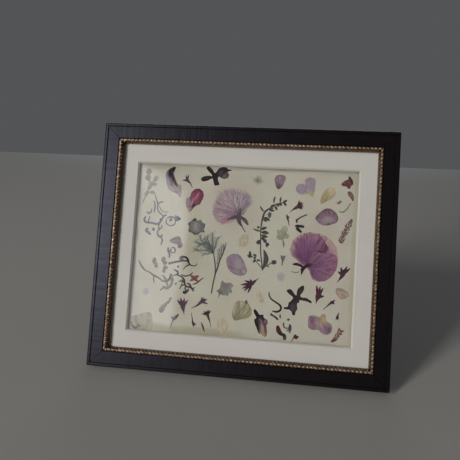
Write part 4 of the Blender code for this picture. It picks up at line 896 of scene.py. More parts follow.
# solid: (finish, strokes as (run, widths))
CALYXES = {
    "lilac_flower_calyx": ("trumpet calyx", (
        ((2.0, 18.8, -1.2, 24.0, -4.2, 28.4, -5.2, 33.0, -4.6, 38.0, -4.0, 42.4),
         (0.7, 1.0, 3.6, 5.0, 3.4, 0.9)),
        ((-5.4, 33.4, -9.6, 33.0, -13.0, 31.2, -16.2, 29.8), (3.6, 3.4, 2.4, 0.8)),
        ((-4.2, 33.6, 0.0, 31.2, 2.6, 28.4, 4.4, 25.8), (2.4, 3.6, 3.2, 1.2)))),
    "magenta_flower_calyx": ("plum calyx", (
        ((49.6, -9.4, 53.0, -9.0, 56.6, -9.8, 59.6, -11.6), (0.9, 2.8, 2.4, 2.2)),
        ((58.4, -18.6, 58.9, -15.4, 60.0, -12.6, 62.6, -10.4, 67.4, -9.2), (0.7, 2.2, 3.2, 3.0, 0.8)),
        ((57.4, -14.6, 59.2, -12.4), (1.4, 2.0)))),
}

# ---------------------------------------------------------------- specimens drawn one by one from listed points
# a run is x, up, x, up, a stroke is (run, widths) and a petal is (outline, base, tip);
# a leaf is (x and up of its base, x and up of its tip, width, bend);
# an oval is (x, up, half width, half height, turn), and a floret has a throat, a stem, a width and tips;
# back is the depth of a piece's back, and bold widens its strokes and ovals
PIECES = {
    "magenta_lower_lobe": ("magenta petal", {"back": OVERLAP, "petals": (
        ((63.0, -9.5, 68.0, -3.0, 73.0, 1.4, 80.0, 3.8, 86.3, 3.2, 90.4, 0.7, 91.6, -5.0, 90.7, -11.9,
          87.4, -17.7, 82.0, -22.4, 75.8, -24.2, 70.2, -21.8, 67.2, -17.8, 65.4, -13.0),
         (63.0, -10.0), (86.0, 3.0)),)}),
    "magenta_upper_lobe": ("magenta petal", {"back": OVERLAP - 0.12, "petals": (
        ((63.6, -9.9, 58.5, -6.2, 55.0, -2.0, 52.0, 4.4, 50.4, 9.6, 53.8, 15.1, 58.4, 18.6, 65.1, 20.3,
          71.8, 20.0, 76.8, 17.5, 79.0, 13.7, 82.1, 9.0, 82.9, 5.0, 78.0, 3.4, 72.5, 0.8, 68.0, -4.4),
         (63.0, -10.0), (66.0, 20.0)),)}),
    "viola_right_petal": ("lilac viola petal", {"back": 13.3, "ovals": ((61.8, 67.2, 4.4, 6.2, 6),)}),
    "cream_petal_pale": ("faint cream petal", {"ovals": ((1.0, 10.5, 4.6, 7.0, -18),)}),
    "cream_petal_lower": ("faint cream petal", {"ovals": ((20.5, -43.0, 2.9, 6.6, 28),)}),
    "cream_petal_bottom": ("faint cream petal", {"ovals": ((-14.0, -73.0, 5.2, 8.5, 20),)}),
    "lilac_smudge_petal": ("faint lilac petal", {"ovals": ((39.0, -22.0, 4.2, 4.4, 0),)}),
    "lilac_petal_left": ("faint lilac petal", {"ovals": ((-92.6, -45.0, 3.2, 3.8, 10),)}),
    "rose_petals": ("dusty rose petal", {
        "petals": (((-72.7, 5.6, -69.0, 9.0, -64.8, 11.4, -61.7, 9.4, -60.6, 6.1, -59.0, 3.0, -60.6, -0.3,
                     -63.8, -0.2, -64.6, 2.6, -68.7, 3.8), (-73.5, 5.0), (-60.0, 6.0)),),
        "ovals": ((-86.4, -14.6, 2.1, 3.6, 0), (-84.2, -18.6, 1.9, 3.0, 10), (-77.2, -12.8, 2.4, 2.8, 0),
                  (-75.6, -16.0, 2.4, 2.2, 0), (-74.8, -20.4, 2.5, 2.0, 0), (-76.0, -23.6, 1.7, 2.4, 0))}),
    "bud_by_loop": ("grey bud", {
        "ovals": ((-66.6, 28.2, 2.6, 2.7, 0),), "leaves": ((-67.4, 29.0, -68.4, 32.0, 1.4, 0),)}),
    "bud_eye": ("tangle leaf", {"back": 13.3, "ovals": ((-64.2, 28.4, 1.2, 1.3, 0),)}),
    "purple_bud_oval": ("grey bud", {
        "ovals": ((-61.6, -69.0, 1.7, 3.2, -45),), "leaves": ((-62.4, -70.6, -65.6, -68.0, 1.6, 0),),
        "strokes": (((-62.6, -70.4, -64.2, -73.6, -65.5, -79.6), (1.2, 0.9, 0.5)),)}),
    "purple_bud_tip": ("purple bud", {"back": 13.4, "leaves": ((-60.8, -68.4, -57.8, -64.8, 2.0, 0),)}),
    "red_bud_small": ("dark red bud", {"petals": (
        ((53.9, -79.0, 54.6, -76.6, 56.4, -74.9, 57.4, -76.4, 59.2, -76.6, 58.6, -78.8, 56.6, -79.6),
         (48.0, -83.0), (58.0, -75.6)),)}),
    "small_red_bud_stem": ("olive stem", {"strokes": (
        ((54.2, -79.0, 53.1, -81.0, 51.8, -83.4), (0.9, 0.8, 0.7)),)}),
    "heart_bud": ("heart bud", {"petals": (
        ((37.9, -1.2, 39.2, -2.0, 40.7, -2.0, 42.2, -1.2, 42.0, -4.0, 40.9, -6.0, 39.3, -6.0, 38.1, -4.0),
         (40.0, -9.0), (40.0, -1.0)),)}),
    "heart_bud_stem": ("sprig leaf", {"strokes": (
        ((40.0, -5.6, 39.7, -8.0, 39.4, -11.6), (1.7, 1.2, 0.6)),)}),
    "olive_stem_upper_right": ("olive stem", {"strokes": (
        ((101.0, 52.4, 99.1, 48.5, 96.4, 44.9, 93.5, 43.0, 90.5, 44.2), (0.8, 0.9, 1.1, 1.1, 0.7)),)}),
    "brown_crescent_leaf": ("brown leaf", {
        "strokes": (((98.6, 63.4, 100.0, 61.0, 101.8, 58.4, 103.2, 54.4), (1.4, 4.0, 4.4, 3.2, 1.2)),),
        "ovals": ((89.6, 51.8, 1.5, 1.2, 20), (91.3, 53.1, 1.3, 1.1, -20))}),
    "curved_stem_right": ("dark stem", {"strokes": (
        ((60.6, 39.1, 56.4, 37.2, 52.7, 34.8, 50.9, 33.0, 51.3, 30.5), (1.1, 1.1, 1.2, 1.8, 1.2)),)}),
    "leaf_pair_right": ("dark leaf", {"strokes": (
        ((49.7, 27.6, 54.0, 27.6, 58.5, 27.2), (1.8, 2.8, 2.9, 1.8)),
        ((51.0, 26.0, 53.4, 24.0, 56.4, 21.5), (2.2, 3.0, 2.8, 1.2)))}),
    "dark_curled_stem": ("dark stem", {"strokes": (
        ((28.8, -37.1, 28.9, -40.2, 31.2, -43.8, 35.5, -46.4, 39.4, -48.8, 40.8, -51.1, 40.2, -53.9,
          36.8, -55.6, 32.7, -55.0), (0.8, 1.2, 1.4, 1.5, 1.8, 1.9, 2.0, 1.9, 0.9)),)}),
    "dark_bits_lower": ("tangle leaf", {
        "strokes": (
            ((31.3, -58.1, 34.3, -59.7, 37.1, -61.3, 38.7, -63.3), (2.6, 1.4, 1.6, 2.0, 1.2)),
            ((40.3, -57.6, 40.9, -61.4), (0.8, 1.5, 1.0)),
            ((44.2, -65.3, 44.6, -69.0, 46.9, -70.3, 49.4, -69.7), (1.3, 1.2, 1.0, 1.2)),
            ((47.5, -72.9, 49.8, -71.0), (0.9, 1.3))),
        "ovals": ((48.8, -62.2, 1.2, 1.0, 0),)}),
    "dark_seed_leaf": ("purple bud", {"strokes": (
        ((50.1, -66.2, 50.7, -70.0, 50.2, -74.6), (1.0, 2.7, 2.4, 0.9)),)}),
    "pale_sepal": ("olive stem", {"strokes": (
        ((48.6, -15.9, 52.1, -17.1, 56.3, -16.0), (0.5, 0.7, 0.8, 0.7)),)}),
    "lichen_twig": ("lichen leaf", {"strokes": (
        ((-102.0, -15.3, -100.1, -19.0, -97.3, -22.5, -94.5, -24.9, -90.2, -26.3, -87.0, -28.4, -81.2, -31.0,
          -76.7, -34.0), (1.0, 1.4, 1.7, 1.2, 1.2, 1.6, 1.5, 1.2)),
        ((-85.8, -29.6, -85.8, -33.2, -84.9, -36.4), (1.2, 1.3, 0.6)),
        ((-76.7, -34.0, -72.6, -34.0, -69.6, -31.0, -68.9, -26.2), (1.2, 1.8, 2.4, 1.4)))}),
    "lichen_tangle": ("pale lichen", {"strokes": (
        ((-68.5, -27.0, -67.0, -32.2, -67.6, -36.8, -70.2, -40.0, -73.7, -39.6, -76.4, -41.4, -78.4, -43.6),
         (2.2, 3.0, 2.4, 2.2, 1.8, 1.6, 1.0)),
        ((-77.4, -28.0, -74.6, -30.4, -71.6, -33.0), (1.0, 1.6, 1.2)),
        ((-75.6, -30.8, -72.8, -34.6, -70.6, -38.6), (1.0, 1.8, 1.4)),
        ((-75.8, -38.6, -74.0, -41.0, -70.0, -41.2), (1.0, 1.4, 1.2)))}),
    "dark_curved_twig": ("weathered twig", {"strokes": (
        ((-72.0, -16.6, -67.2, -15.0, -60.5, -13.4, -54.8, -12.6, -52.0, -13.8, -50.7, -16.0, -47.4, -17.0,
          -44.6, -16.8, -43.5, -14.4), (2.2, 2.1, 1.7, 1.6, 1.8, 1.5, 0.9, 0.9, 0.6)),
        ((-61.0, -11.0, -59.3, -9.2, -56.0, -9.0, -53.3, -10.4, -51.9, -13.8), (1.6, 2.4, 2.0, 2.0, 1.8)))}),
    "twig_blue_leaf": ("grey bud", {"back": 13.5, "ovals": ((-58.9, -11.8, 2.0, 1.5, 0),)}),
    "branching_tangle": ("tangle leaf", {"strokes": (
        ((-66.1, -22.0, -64.0, -22.8, -61.8, -24.4, -62.8, -26.6, -66.0, -27.8), (0.9, 1.5, 1.7, 1.4, 0.8)),
        ((-62.8, -26.8, -57.6, -28.6, -54.9, -31.8, -54.0, -35.8, -51.4, -38.0, -48.2, -38.0, -44.7, -41.8),
         (1.2, 1.4, 1.8, 1.7, 1.6, 1.9, 1.4)),
        ((-50.9, -16.2, -54.4, -18.3, -56.8, -21.6), (1.3, 1.0, 0.5)),
        ((-58.6, -26.4, -54.2, -27.6, -50.0, -26.2, -47.0, -23.6), (0.8, 1.3, 1.2, 0.8)),
        ((-52.0, -34.4, -49.6, -35.2, -47.4, -37.6), (1.2, 1.8, 1.4)),
        ((-55.4, -43.0, -53.4, -43.4, -51.0, -41.8, -49.6, -39.6), (2.0, 3.6, 2.2, 0.8)),
        ((-62.4, -18.0, -61.6, -20.0), (1.8, 0.8)),
        ((-64.0, -36.4, -62.0, -34.8), (1.6, 0.9)),
        ((-60.4, -33.6, -57.0, -32.4, -54.4, -34.4), (0.9, 1.3, 1.1)),
        ((-58.8, -40.6, -57.4, -37.2, -54.6, -36.2), (0.8, 1.5, 1.2)),
        ((-57.6, -30.6, -56.6, -33.6, -57.8, -36.6), (0.8, 1.2, 0.7)),
        ((-52.6, -36.6, -53.4, -39.6, -51.6, -42.0), (1.4, 1.5, 1.0)),
        ((-48.8, -37.8, -46.0, -39.2, -44.0, -38.2), (1.4, 1.5, 0.9)))}),
    "red_floret_left": ("red floret", {"leaves": (
        (-44.0, -29.4, -49.6, -26.4, 3.0, 0), (-45.4, -29.4, -40.4, -26.6, 3.4, 0.4),
        (-44.0, -29.0, -49.4, -32.0, 2.8, 0), (-45.4, -29.8, -41.0, -31.6, 3.0, 0))}),
    "red_floret_stem": ("dark stem", {"strokes": (
        ((-46.2, -35.0, -43.0, -34.0, -40.2, -31.6, -36.0, -27.8), (0.8, 1.2, 1.3, 0.7)),)}),
    "upper_tendrils": ("grey tendril", {"bold": 1.3, "strokes": (
        ((-90.8, 52.0, -89.8, 48.3, -88.4, 44.8, -87.1, 41.8, -87.1, 37.0, -84.2, 33.0, -80.5, 30.0),
         (0.4, 0.6, 1.0, 1.1, 0.9, 1.0, 0.9)),
        ((-87.0, 42.0, -84.7, 43.8, -81.6, 44.6), (0.9, 1.0, 0.6)),
        ((-91.8, 45.2, -90.0, 41.8, -90.0, 37.0, -90.5, 33.4), (0.6, 1.0, 1.1, 0.8)),
        ((-93.2, 36.8, -93.4, 34.0, -95.4, 32.4, -98.0, 33.8), (0.7, 1.1, 1.5, 0.6)),
        ((-98.2, 28.9, -99.8, 26.4, -98.2, 23.4, -92.2, 22.8, -85.7, 22.2, -82.7, 25.4, -80.4, 30.0,
          -77.4, 31.6), (1.1, 1.6, 1.6, 1.5, 1.7, 1.6, 1.3, 0.9)),
        ((-94.4, 29.2, -95.2, 26.0, -95.6, 23.4), (0.7, 1.0, 0.8)),
        ((-83.7, 28.0, -83.4, 24.0, -84.8, 20.4, -83.8, 17.6, -81.6, 18.6, -81.6, 21.4),
         (0.7, 1.1, 1.0, 1.2, 1.0, 0.7)),
        ((-83.4, 17.2, -85.4, 14.8, -85.0, 11.6, -83.4, 9.6, -80.8, 10.0, -80.4, 12.0),
         (1.3, 1.0, 1.3, 1.4, 1.2, 0.7)),
        ((-95.0, 17.4, -97.3, 15.4, -94.9, 13.2, -92.0, 11.2), (1.3, 1.8, 2.1, 1.4)),
        ((-81.6, 9.0, -79.9, 6.0, -81.0, 1.2), (0.8, 1.5, 0.8))), "ovals": ((-89.8, 16.6, 1.2, 1.4, 0),)}),
    "thin_squiggle": ("olive stem", {"strokes": (
        ((-86.0, 41.0, -83.4, 36.2, -80.1, 34.3, -76.0, 34.8), (0.5, 0.8, 0.7, 0.5)),)}),
    "curled_loop": ("grey tendril", {"bold": 1.3, "strokes": (
        ((-77.3, 27.2, -77.3, 24.0, -75.0, 21.6, -72.0, 20.9, -69.0, 22.4, -68.0, 25.0, -69.0, 27.8),
         (0.7, 0.9, 0.8, 1.0, 0.8, 0.7)),
        ((-76.6, 27.6, -74.4, 29.8, -71.0, 29.6, -68.4, 28.6), (0.7, 0.9, 1.2, 1.2))),
        "ovals": ((-72.9, 27.0, 1.4, 1.4, 0),)}),
    "curly_lower_tendrils": ("grey tendril", {"bold": 1.15, "strokes": (
        ((-70.0, -1.0, -67.6, -0.4, -66.2, -2.6, -66.6, -5.0, -69.0, -5.6, -70.6, -4.2, -70.4, -1.6),
         (1.0, 1.1, 1.3, 1.1, 1.0, 1.0, 1.0)),
        ((-73.4, -0.6, -73.2, -3.6, -71.4, -7.6, -71.8, -11.2), (1.3, 1.6, 1.8, 0.8)),
        ((-70.6, -3.0, -72.4, -4.6, -74.2, -4.4), (1.0, 1.2, 0.6)))}),
    "lower_left_floret": ("plum floret", {
        "throat": (-54.4, -58.0), "stem": (-53.6, -61.0, -53.1, -63.0, -52.7, -65.0), "width": 3.4,
        "tips": (-60.6, -51.0, -57.6, -48.8, -53.4, -49.0, -50.0, -50.4)}),
    "centre_floret": ("wine floret", {
        "throat": (12.0, -30.0), "stem": (14.2, -28.0, 16.0, -26.4, 17.6, -24.8), "width": 3.0,
        "tips": (8.2, -40.0, 4.4, -38.2, 2.4, -36.0, 0.6, -32.4, 4.3, -28.0, 9.4, -26.4)}),
    "tall_floret": ("wine floret", {
        "throat": (74.9, -39.0), "stem": (74.3, -41.4, 73.9, -43.4, 73.7, -45.2), "width": 3.6,
        "tips": (73.3, -27.6, 76.8, -28.4, 79.6, -29.8, 81.0, -37.4)}),
    "right_floret": ("wine floret", {
        "throat": (96.8, -16.4), "stem": (95.2, -19.4, 93.6, -21.8, 92.2, -23.8), "width": 3.4,
        "tips": (92.4, -13.4, 95.0, -9.0, 100.8, -7.8, 103.8, -9.4)}),
    "floret_upper_left": ("plum floret", {
        "throat": (-59.0, 66.9), "stem": (-56.2, 64.7, -54.6, 62.3, -53.3, 60.0), "width": 2.3,
        "tips": (-57.9, 73.2, -60.6, 72.4, -64.1, 66.9, -59.4, 70.5)}),
    "floret_upper_right": ("wine floret", {
        "throat": (51.4, 46.4), "stem": (48.0, 44.2, 46.0, 42.4, 44.2, 40.4), "width": 2.9,
        "tips": (52.7, 52.6, 55.2, 51.2, 56.4, 49.6, 56.8, 46.6, 56.0, 44.2)}),
    "floret_lower_first": ("plum floret", {
        "throat": (-36.3, -51.2), "stem": (-39.8, -54.7, -43.0, -56.8, -46.0, -58.3), "width": 2.7,
        "tips": (-35.9, -46.8, -33.2, -47.4, -30.8, -48.5, -29.9, -53.0)}),
    "floret_lower_second": ("wine floret", {
        "throat": (-29.6, -63.4), "stem": (-27.8, -67.5, -26.8, -70.0, -25.6, -75.0), "width": 2.5,
        "tips": (-35.2, -62.8, -33.6, -60.2, -30.8, -60.0, -29.2, -58.4, -26.7, -58.9)}),
    "floret_lower_third": ("plum floret", {
        "throat": (-43.4, -72.4), "stem": (-43.8, -71.0, -44.6, -67.0, -45.5, -62.8), "width": 2.0,
        "tips": (-42.2, -76.4, -39.9, -74.1)}),
    "floret_right_thin": ("wine floret", {
        "throat": (88.0, -42.9), "stem": (85.8, -45.0, 83.4, -47.4, 80.6, -50.1), "width": 2.1,
        "tips": (91.4, -40.2, 90.4, -42.0, 91.2, -44.2)}),
    "floret_bud_upper": ("purple bud", {
        "throat": (41.8, 36.0), "stem": (42.8, 32.7, 43.6, 30.0, 44.0, 27.4), "width": 1.9,
        "tips": (41.0, 38.4, 44.2, 35.6)}),
    "floret_small_right": ("wine floret", {
        "throat": (94.2, -56.0), "stem": (94.6, -54.4, 95.0, -53.0, 95.5, -51.9), "width": 1.9,
        "tips": (92.8, -58.8, 95.2, -58.6)}),
    "thin_bud_stem": ("tangle leaf", {"strokes": (
        ((-35.2, -71.2, -33.6, -74.6, -32.6, -77.2, -31.3, -80.3), (0.6, 1.8, 1.6, 0.5)),)}),
    "central_sprig": ("sprig stem", {"strokes": (
        ((21.0, -17.0, 19.9, -10.0, 18.8, -3.7, 18.0, 2.5, 17.6, 8.8, 17.2, 16.0, 17.0, 23.0, 17.4, 29.0,
          18.2, 33.9, 20.4, 40.2, 26.0, 44.1, 30.2, 47.5, 35.4, 49.0, 39.7, 50.4),
         (1.5, 1.2, 1.1, 1.1, 1.1, 1.1, 1.2, 1.4, 1.8, 1.8, 1.6, 1.4, 1.2, 0.8)),
        ((21.0, -15.4, 25.0, -12.0, 29.5, -9.5), (0.9, 0.8, 1.0)),
        ((20.9, -15.6, 17.0, -11.5, 14.0, -8.0, 10.6, -4.0), (0.8, 0.8, 0.8, 0.7)),
        ((18.6, 40.2, 16.6, 42.4, 15.0, 45.0), (1.2, 1.6, 0.8)),
        ((28.0, 48.6, 28.2, 52.0, 29.0, 55.2), (0.9, 1.8, 0.9)),
        ((17.0, 20.6, 13.4, 21.2, 9.6, 22.4), (0.9, 1.8, 0.8)))}),
    "sprig_leaves": ("sprig leaf", {"back": LYING - 0.05, "leaves": (
        (21.6, -15.5, 21.0, 3.0, 4.9, -2.6), (18.6, 33.6, 25.4, 31.0, 3.0, 0.8),
        (18.4, 32.0, 22.6, 29.8, 1.8, 0.3), (25.0, 44.4, 29.6, 46.8, 2.6, 0.4),
        (29.0, 45.8, 31.6, 41.6, 2.4, 0.3), (31.0, 48.0, 33.2, 45.4, 2.4, 0),
        (32.8, 48.4, 36.0, 46.4, 2.6, 0.2), (34.2, 49.0, 34.8, 55.4, 1.8, 0.3),
        (36.8, 49.8, 41.0, 52.2, 2.2, 0), (37.4, 49.4, 40.2, 46.4, 2.2, 0.3),
        (17.4, 22.0, 23.0, 24.4, 3.0, 0.5), (17.6, 19.6, 25.2, 18.8, 3.8, 0.4),
        (17.6, 17.0, 24.4, 15.4, 3.2, -0.4), (17.2, 14.0, 21.4, 13.6, 2.4, 0),
        (17.8, 12.0, 13.0, 9.2, 3.4, 0.4), (17.4, 9.4, 14.0, 8.0, 2.0, 0),
        (15.2, 23.0, 13.6, 25.6, 2.2, 0), (10.4, -4.4, 5.4, -3.2, 3.4, 0.3),
        (9.0, -3.4, 7.4, 0.8, 2.6, 0.2), (11.0, -2.2, 14.6, -4.0, 2.2, 0.2),
        (13.6, -7.0, 11.6, -10.2, 2.4, 0), (14.6, -7.4, 18.8, -8.4, 1.9, 0.3),
        (13.8, -6.4, 12.4, -4.0, 1.9, 0), (24.6, -12.6, 27.6, -13.2, 1.4, 0))}),
    "sprig_purple_bud": ("purple bud", {"ovals": ((31.6, -8.5, 2.3, 2.1, 0),)}),
    "sprig_grey_buds": ("ashen bud", {
        "leaves": ((22.6, 42.6, 27.8, 43.4, 2.6, 0), (24.0, 41.6, 29.4, 41.0, 2.4, 0),
                   (24.4, 39.8, 24.8, 33.6, 3.4, 0), (22.4, 36.6, 26.8, 38.6, 1.8, 0))}),
    "sprig_blue_buds": ("blue-black bud", {
        "ovals": ((21.8, 11.2, 1.8, 2.0, 20), (24.2, 8.4, 2.0, 1.7, 0)),
        "leaves": ((18.4, 12.4, 21.6, 12.8, 1.8, 0), (22.8, 8.0, 24.4, 5.4, 1.9, 0))}),
    "grey_leafy_sprig": ("faded leaf", {
        "bold": 1.25,
        "strokes": (((-102.9, 42.0, -100.6, 49.0, -98.6, 55.0, -97.0, 61.0, -98.0, 68.0, -98.8, 75.0),
                     (0.9, 1.2, 1.6, 1.3, 1.1, 1.0)),
                    ((-97.2, 58.0, -94.4, 61.6, -91.6, 65.6), (1.2, 1.3, 1.0)),
                    ((-99.4, 52.8, -96.0, 53.6), (1.2, 1.0))),
        "ovals": ((-98.8, 74.0, 2.3, 2.7, 0), (-99.2, 68.2, 2.5, 2.6, 0), (-91.0, 67.4, 1.8, 2.7, -20),
                  (-94.2, 62.4, 2.1, 1.9, 0), (-91.6, 61.4, 1.5, 1.4, 0), (-96.8, 58.4, 1.7, 2.3, -30),
                  (-93.4, 53.3, 2.4, 1.5, -14), (-99.6, 52.0, 1.6, 2.4, -30)),
        "leaves": ((-91.4, 65.0, -89.6, 70.4, 1.8, 0), (-98.4, 74.0, -97.0, 77.4, 1.8, 0))}),
}

# the fennel leaf: stems as (run, widths), and ribs with hairs as (runs, length of a hair)
FENNEL_STEMS = (
    ((-27.1, -42.7, -26.3, -33.8, -25.0, -25.9, -24.8, -20.5, -25.8, -12.4, -27.8, -3.4),
     (1.1, 1.3, 1.4, 1.2, 1.2, 1.0)),
    ((-25.0, -24.0, -22.9, -17.9, -21.4, -10.9, -18.4, -2.9, -17.0, 2.6, -15.7, 7.6),
     (1.3, 1.5, 1.4, 1.1, 1.1, 0.5)),
)
FENNEL_RIBS = (
    ((
        (-27.8, -3.4, -30.6, 2.0, -33.4, 7.0, -35.0, 12.6),
        (-27.8, -3.4, -29.0, 4.0, -29.6, 10.0, -30.0, 16.0),
        (-27.8, -3.4, -33.4, 0.6, -39.6, 4.0, -46.4, 7.2),
        (-27.8, -3.4, -34.4, -1.6, -40.4, -1.2, -46.8, -1.6),
        (-27.8, -3.4, -32.0, -4.0, -36.4, -5.4, -38.4, -6.2),
        (-27.6, -3.4, -26.6, 2.4, -25.6, 7.6, -24.2, 12.2),
        (-28.6, -2.0, -35.0, 3.0, -40.6, 8.4, -42.6, 12.0),
        (-27.8, -2.0, -32.6, 3.4, -36.6, 6.4, -44.0, 2.4),
        (-27.8, -2.0, -31.6, 1.6, -33.8, 3.8, -38.0, 9.6)), 4.4),
    ((
        (-23.6, -14.0, -23.0, -6.0, -23.6, -0.4), (-21.6, -11.0, -21.2, -4.0, -22.0, 1.4),
        (-20.0, -7.6, -19.8, -1.6, -20.2, 4.0), (-18.0, -2.0, -18.4, 2.0, -18.6, 5.6)), 2.2),
)
# widths of a rib from its base to its tip, and the width and depth of its hairs
RIB_WIDTHS = (0.7, 0.55, 0.4, 0.25)
HAIR_WIDTH = 0.42
HAIR_DEPTH = LYING - 0.18
# the star leaf: its middle, how many rays it has, how short and long they are, and how wide
STAR = (11.3, 70.4)
STAR_RAYS = 40
STAR_REACH = (2.4, 7.6)
STAR_RAY_WIDTH = 0.45


# ---------------------------------------------------------------- the beading and the fennel's hairs
def side_turn(side):
    """Moves a strip drawn along the top rail to its own side, and gives half its length."""
    quarter = ("top", "right", "bottom", "left").index(side)
    half, reach = (HALF_HEIGHT, HALF_WIDTH) if quarter % 2 == 0 else (HALF_WIDTH, HALF_HEIGHT)
    return Matrix.Rotation(quarter * math.pi / 2, 4, "Y") @ Matrix.Translation((0, 0, half)), reach


# inward and depth of the strip's section, from its outer edge round to its back
STRIP_SECTION = (
    (14.95, 4.2), (14.95, 1.75), (15.15, 1.45), (15.6, 1.35), (17.2, 1.35), (17.65, 1.6), (17.95, 2.3),
    (18.2, 3.0), (18.42, 3.4), (18.55, 3.9), (18.62, 4.9), (18.85, 5.5), (18.95, 6.4), (19.0, 7.7),
    (17.7, 7.7), (17.7, 4.2),
)
# input of the size, first place in pitches, proportions and slant of the beads and of the lobes
BEAD_KINDS = (("Bead", 0.5, (1.1, 0.8, 0.7), 0.7), ("Lobe", 1.0, (1.3, 0.66, 0.56), -0.7))
# smallest and largest of the beads, as shares of their size
BEAD_UNEVEN = (0.92, 1.08)
# depth of the beads' middles, how far inwards of them the lobes lie, and how much deeper as a share of that
BEAD_DEPTH = 1.5
LOBE_INWARD = 1.75
LOBE_DEEPER = 0.36
# how far a strip stops short of the mitre
STRIP_END_GAP = 0.2
# growth and edge of what has no base or margin: the strips, and what grows from a node tree
STRIP_GROWTH = (0.5, 0.5)
GROWN_GROWTH = (0.6, 0.5)
PLAIN_EDGE = 0.3


def new_tree(name, inputs):
    """A geometry node tree with inputs as (name, kind) and a geometry output. Gives it and its inputs."""
    tree = bpy.data.node_groups.new(name, "GeometryNodeTree")
    for key, kind in inputs:
        tree.interface.new_socket(key, in_out="INPUT", socket_type="NodeSocket" + kind)
    tree.interface.new_socket("Geometry", in_out="OUTPUT", socket_type="NodeSocketGeometry")
    return tree, add(tree, "NodeGroupInput").outputs


def bead_tree():
    """Geometry nodes that set a row of slanting beads, and a row of smaller lobes between and below them."""
    tree, given = new_tree("row of beads", (
        ("Count", "Int"), ("Pitch", "Float"), ("Bead", "Float"), ("Lobe", "Float"), ("Inward", "Float"),
        ("Material", "Material")))
    step = add(tree, "ShaderNodeCombineXYZ", {0: given["Pitch"]}).outputs[0]
    joined = add(tree, "GeometryNodeJoinGeometry")
    for name, start, squash, slant in BEAD_KINDS:
        first = add(tree, "ShaderNodeMath", {0: given["Count"], 1: -0.5, 2: start}, operation="MULTIPLY_ADD")
        first = add(tree, "ShaderNodeMath", {0: first.outputs[0], 1: given["Pitch"]}, operation="MULTIPLY")
        away = given["Inward"] if name == "Lobe" else 0.0
        down = add(tree, "ShaderNodeMath", {0: away, 1: -1.0}, operation="MULTIPLY").outputs[0]
        deep = add(tree, "ShaderNodeMath", {0: away, 1: LOBE_DEEPER}, operation="MULTIPLY").outputs[0]
        begin = add(tree, "ShaderNodeCombineXYZ", {0: first.outputs[0], 1: deep, 2: down}).outputs[0]
        count = add(tree, "ShaderNodeMath", {0: given["Count"], 1: 2.0 * start - 1.0}, operation="SUBTRACT")
        line = add(tree, "GeometryNodeMeshLine", {
            "Count": count.outputs[0], "Start Location": begin, "Offset": step})
        radius = add(tree, "ShaderNodeMath", {0: given[name], 1: 0.5}, operation="MULTIPLY").outputs[0]
        ball = add(tree, "GeometryNodeMeshIcoSphere", {"Radius": radius, "Subdivisions": 2}).outputs[0]
        wobble = add(tree, "FunctionNodeRandomValue", {2: BEAD_UNEVEN[0], 3: BEAD_UNEVEN[1], "Seed": 3},
                     data_type="FLOAT")
        shape = add(tree, "ShaderNodeVectorMath", {0: squash, "Scale": wobble.outputs[1]}, operation="SCALE")
        row = add(tree, "GeometryNodeInstanceOnPoints", {
            "Points": line.outputs[0], "Instance": ball, "Rotation": (0.0, slant, 0.0),
            "Scale": shape.outputs[0]})
        tree.links.new(row.outputs[0], joined.inputs[0])
    real = add(tree, "GeometryNodeRealizeInstances", {0: joined.outputs[0]}).outputs[0]
    smooth = add(tree, "GeometryNodeSetShadeSmooth", {"Geometry": real}).outputs[0]
    dressed = add(tree, "GeometryNodeSetMaterial", {"Geometry": smooth, "Material": given["Material"]})
    add(tree, "NodeGroupOutput", {0: dressed.outputs[0]})
    return tree


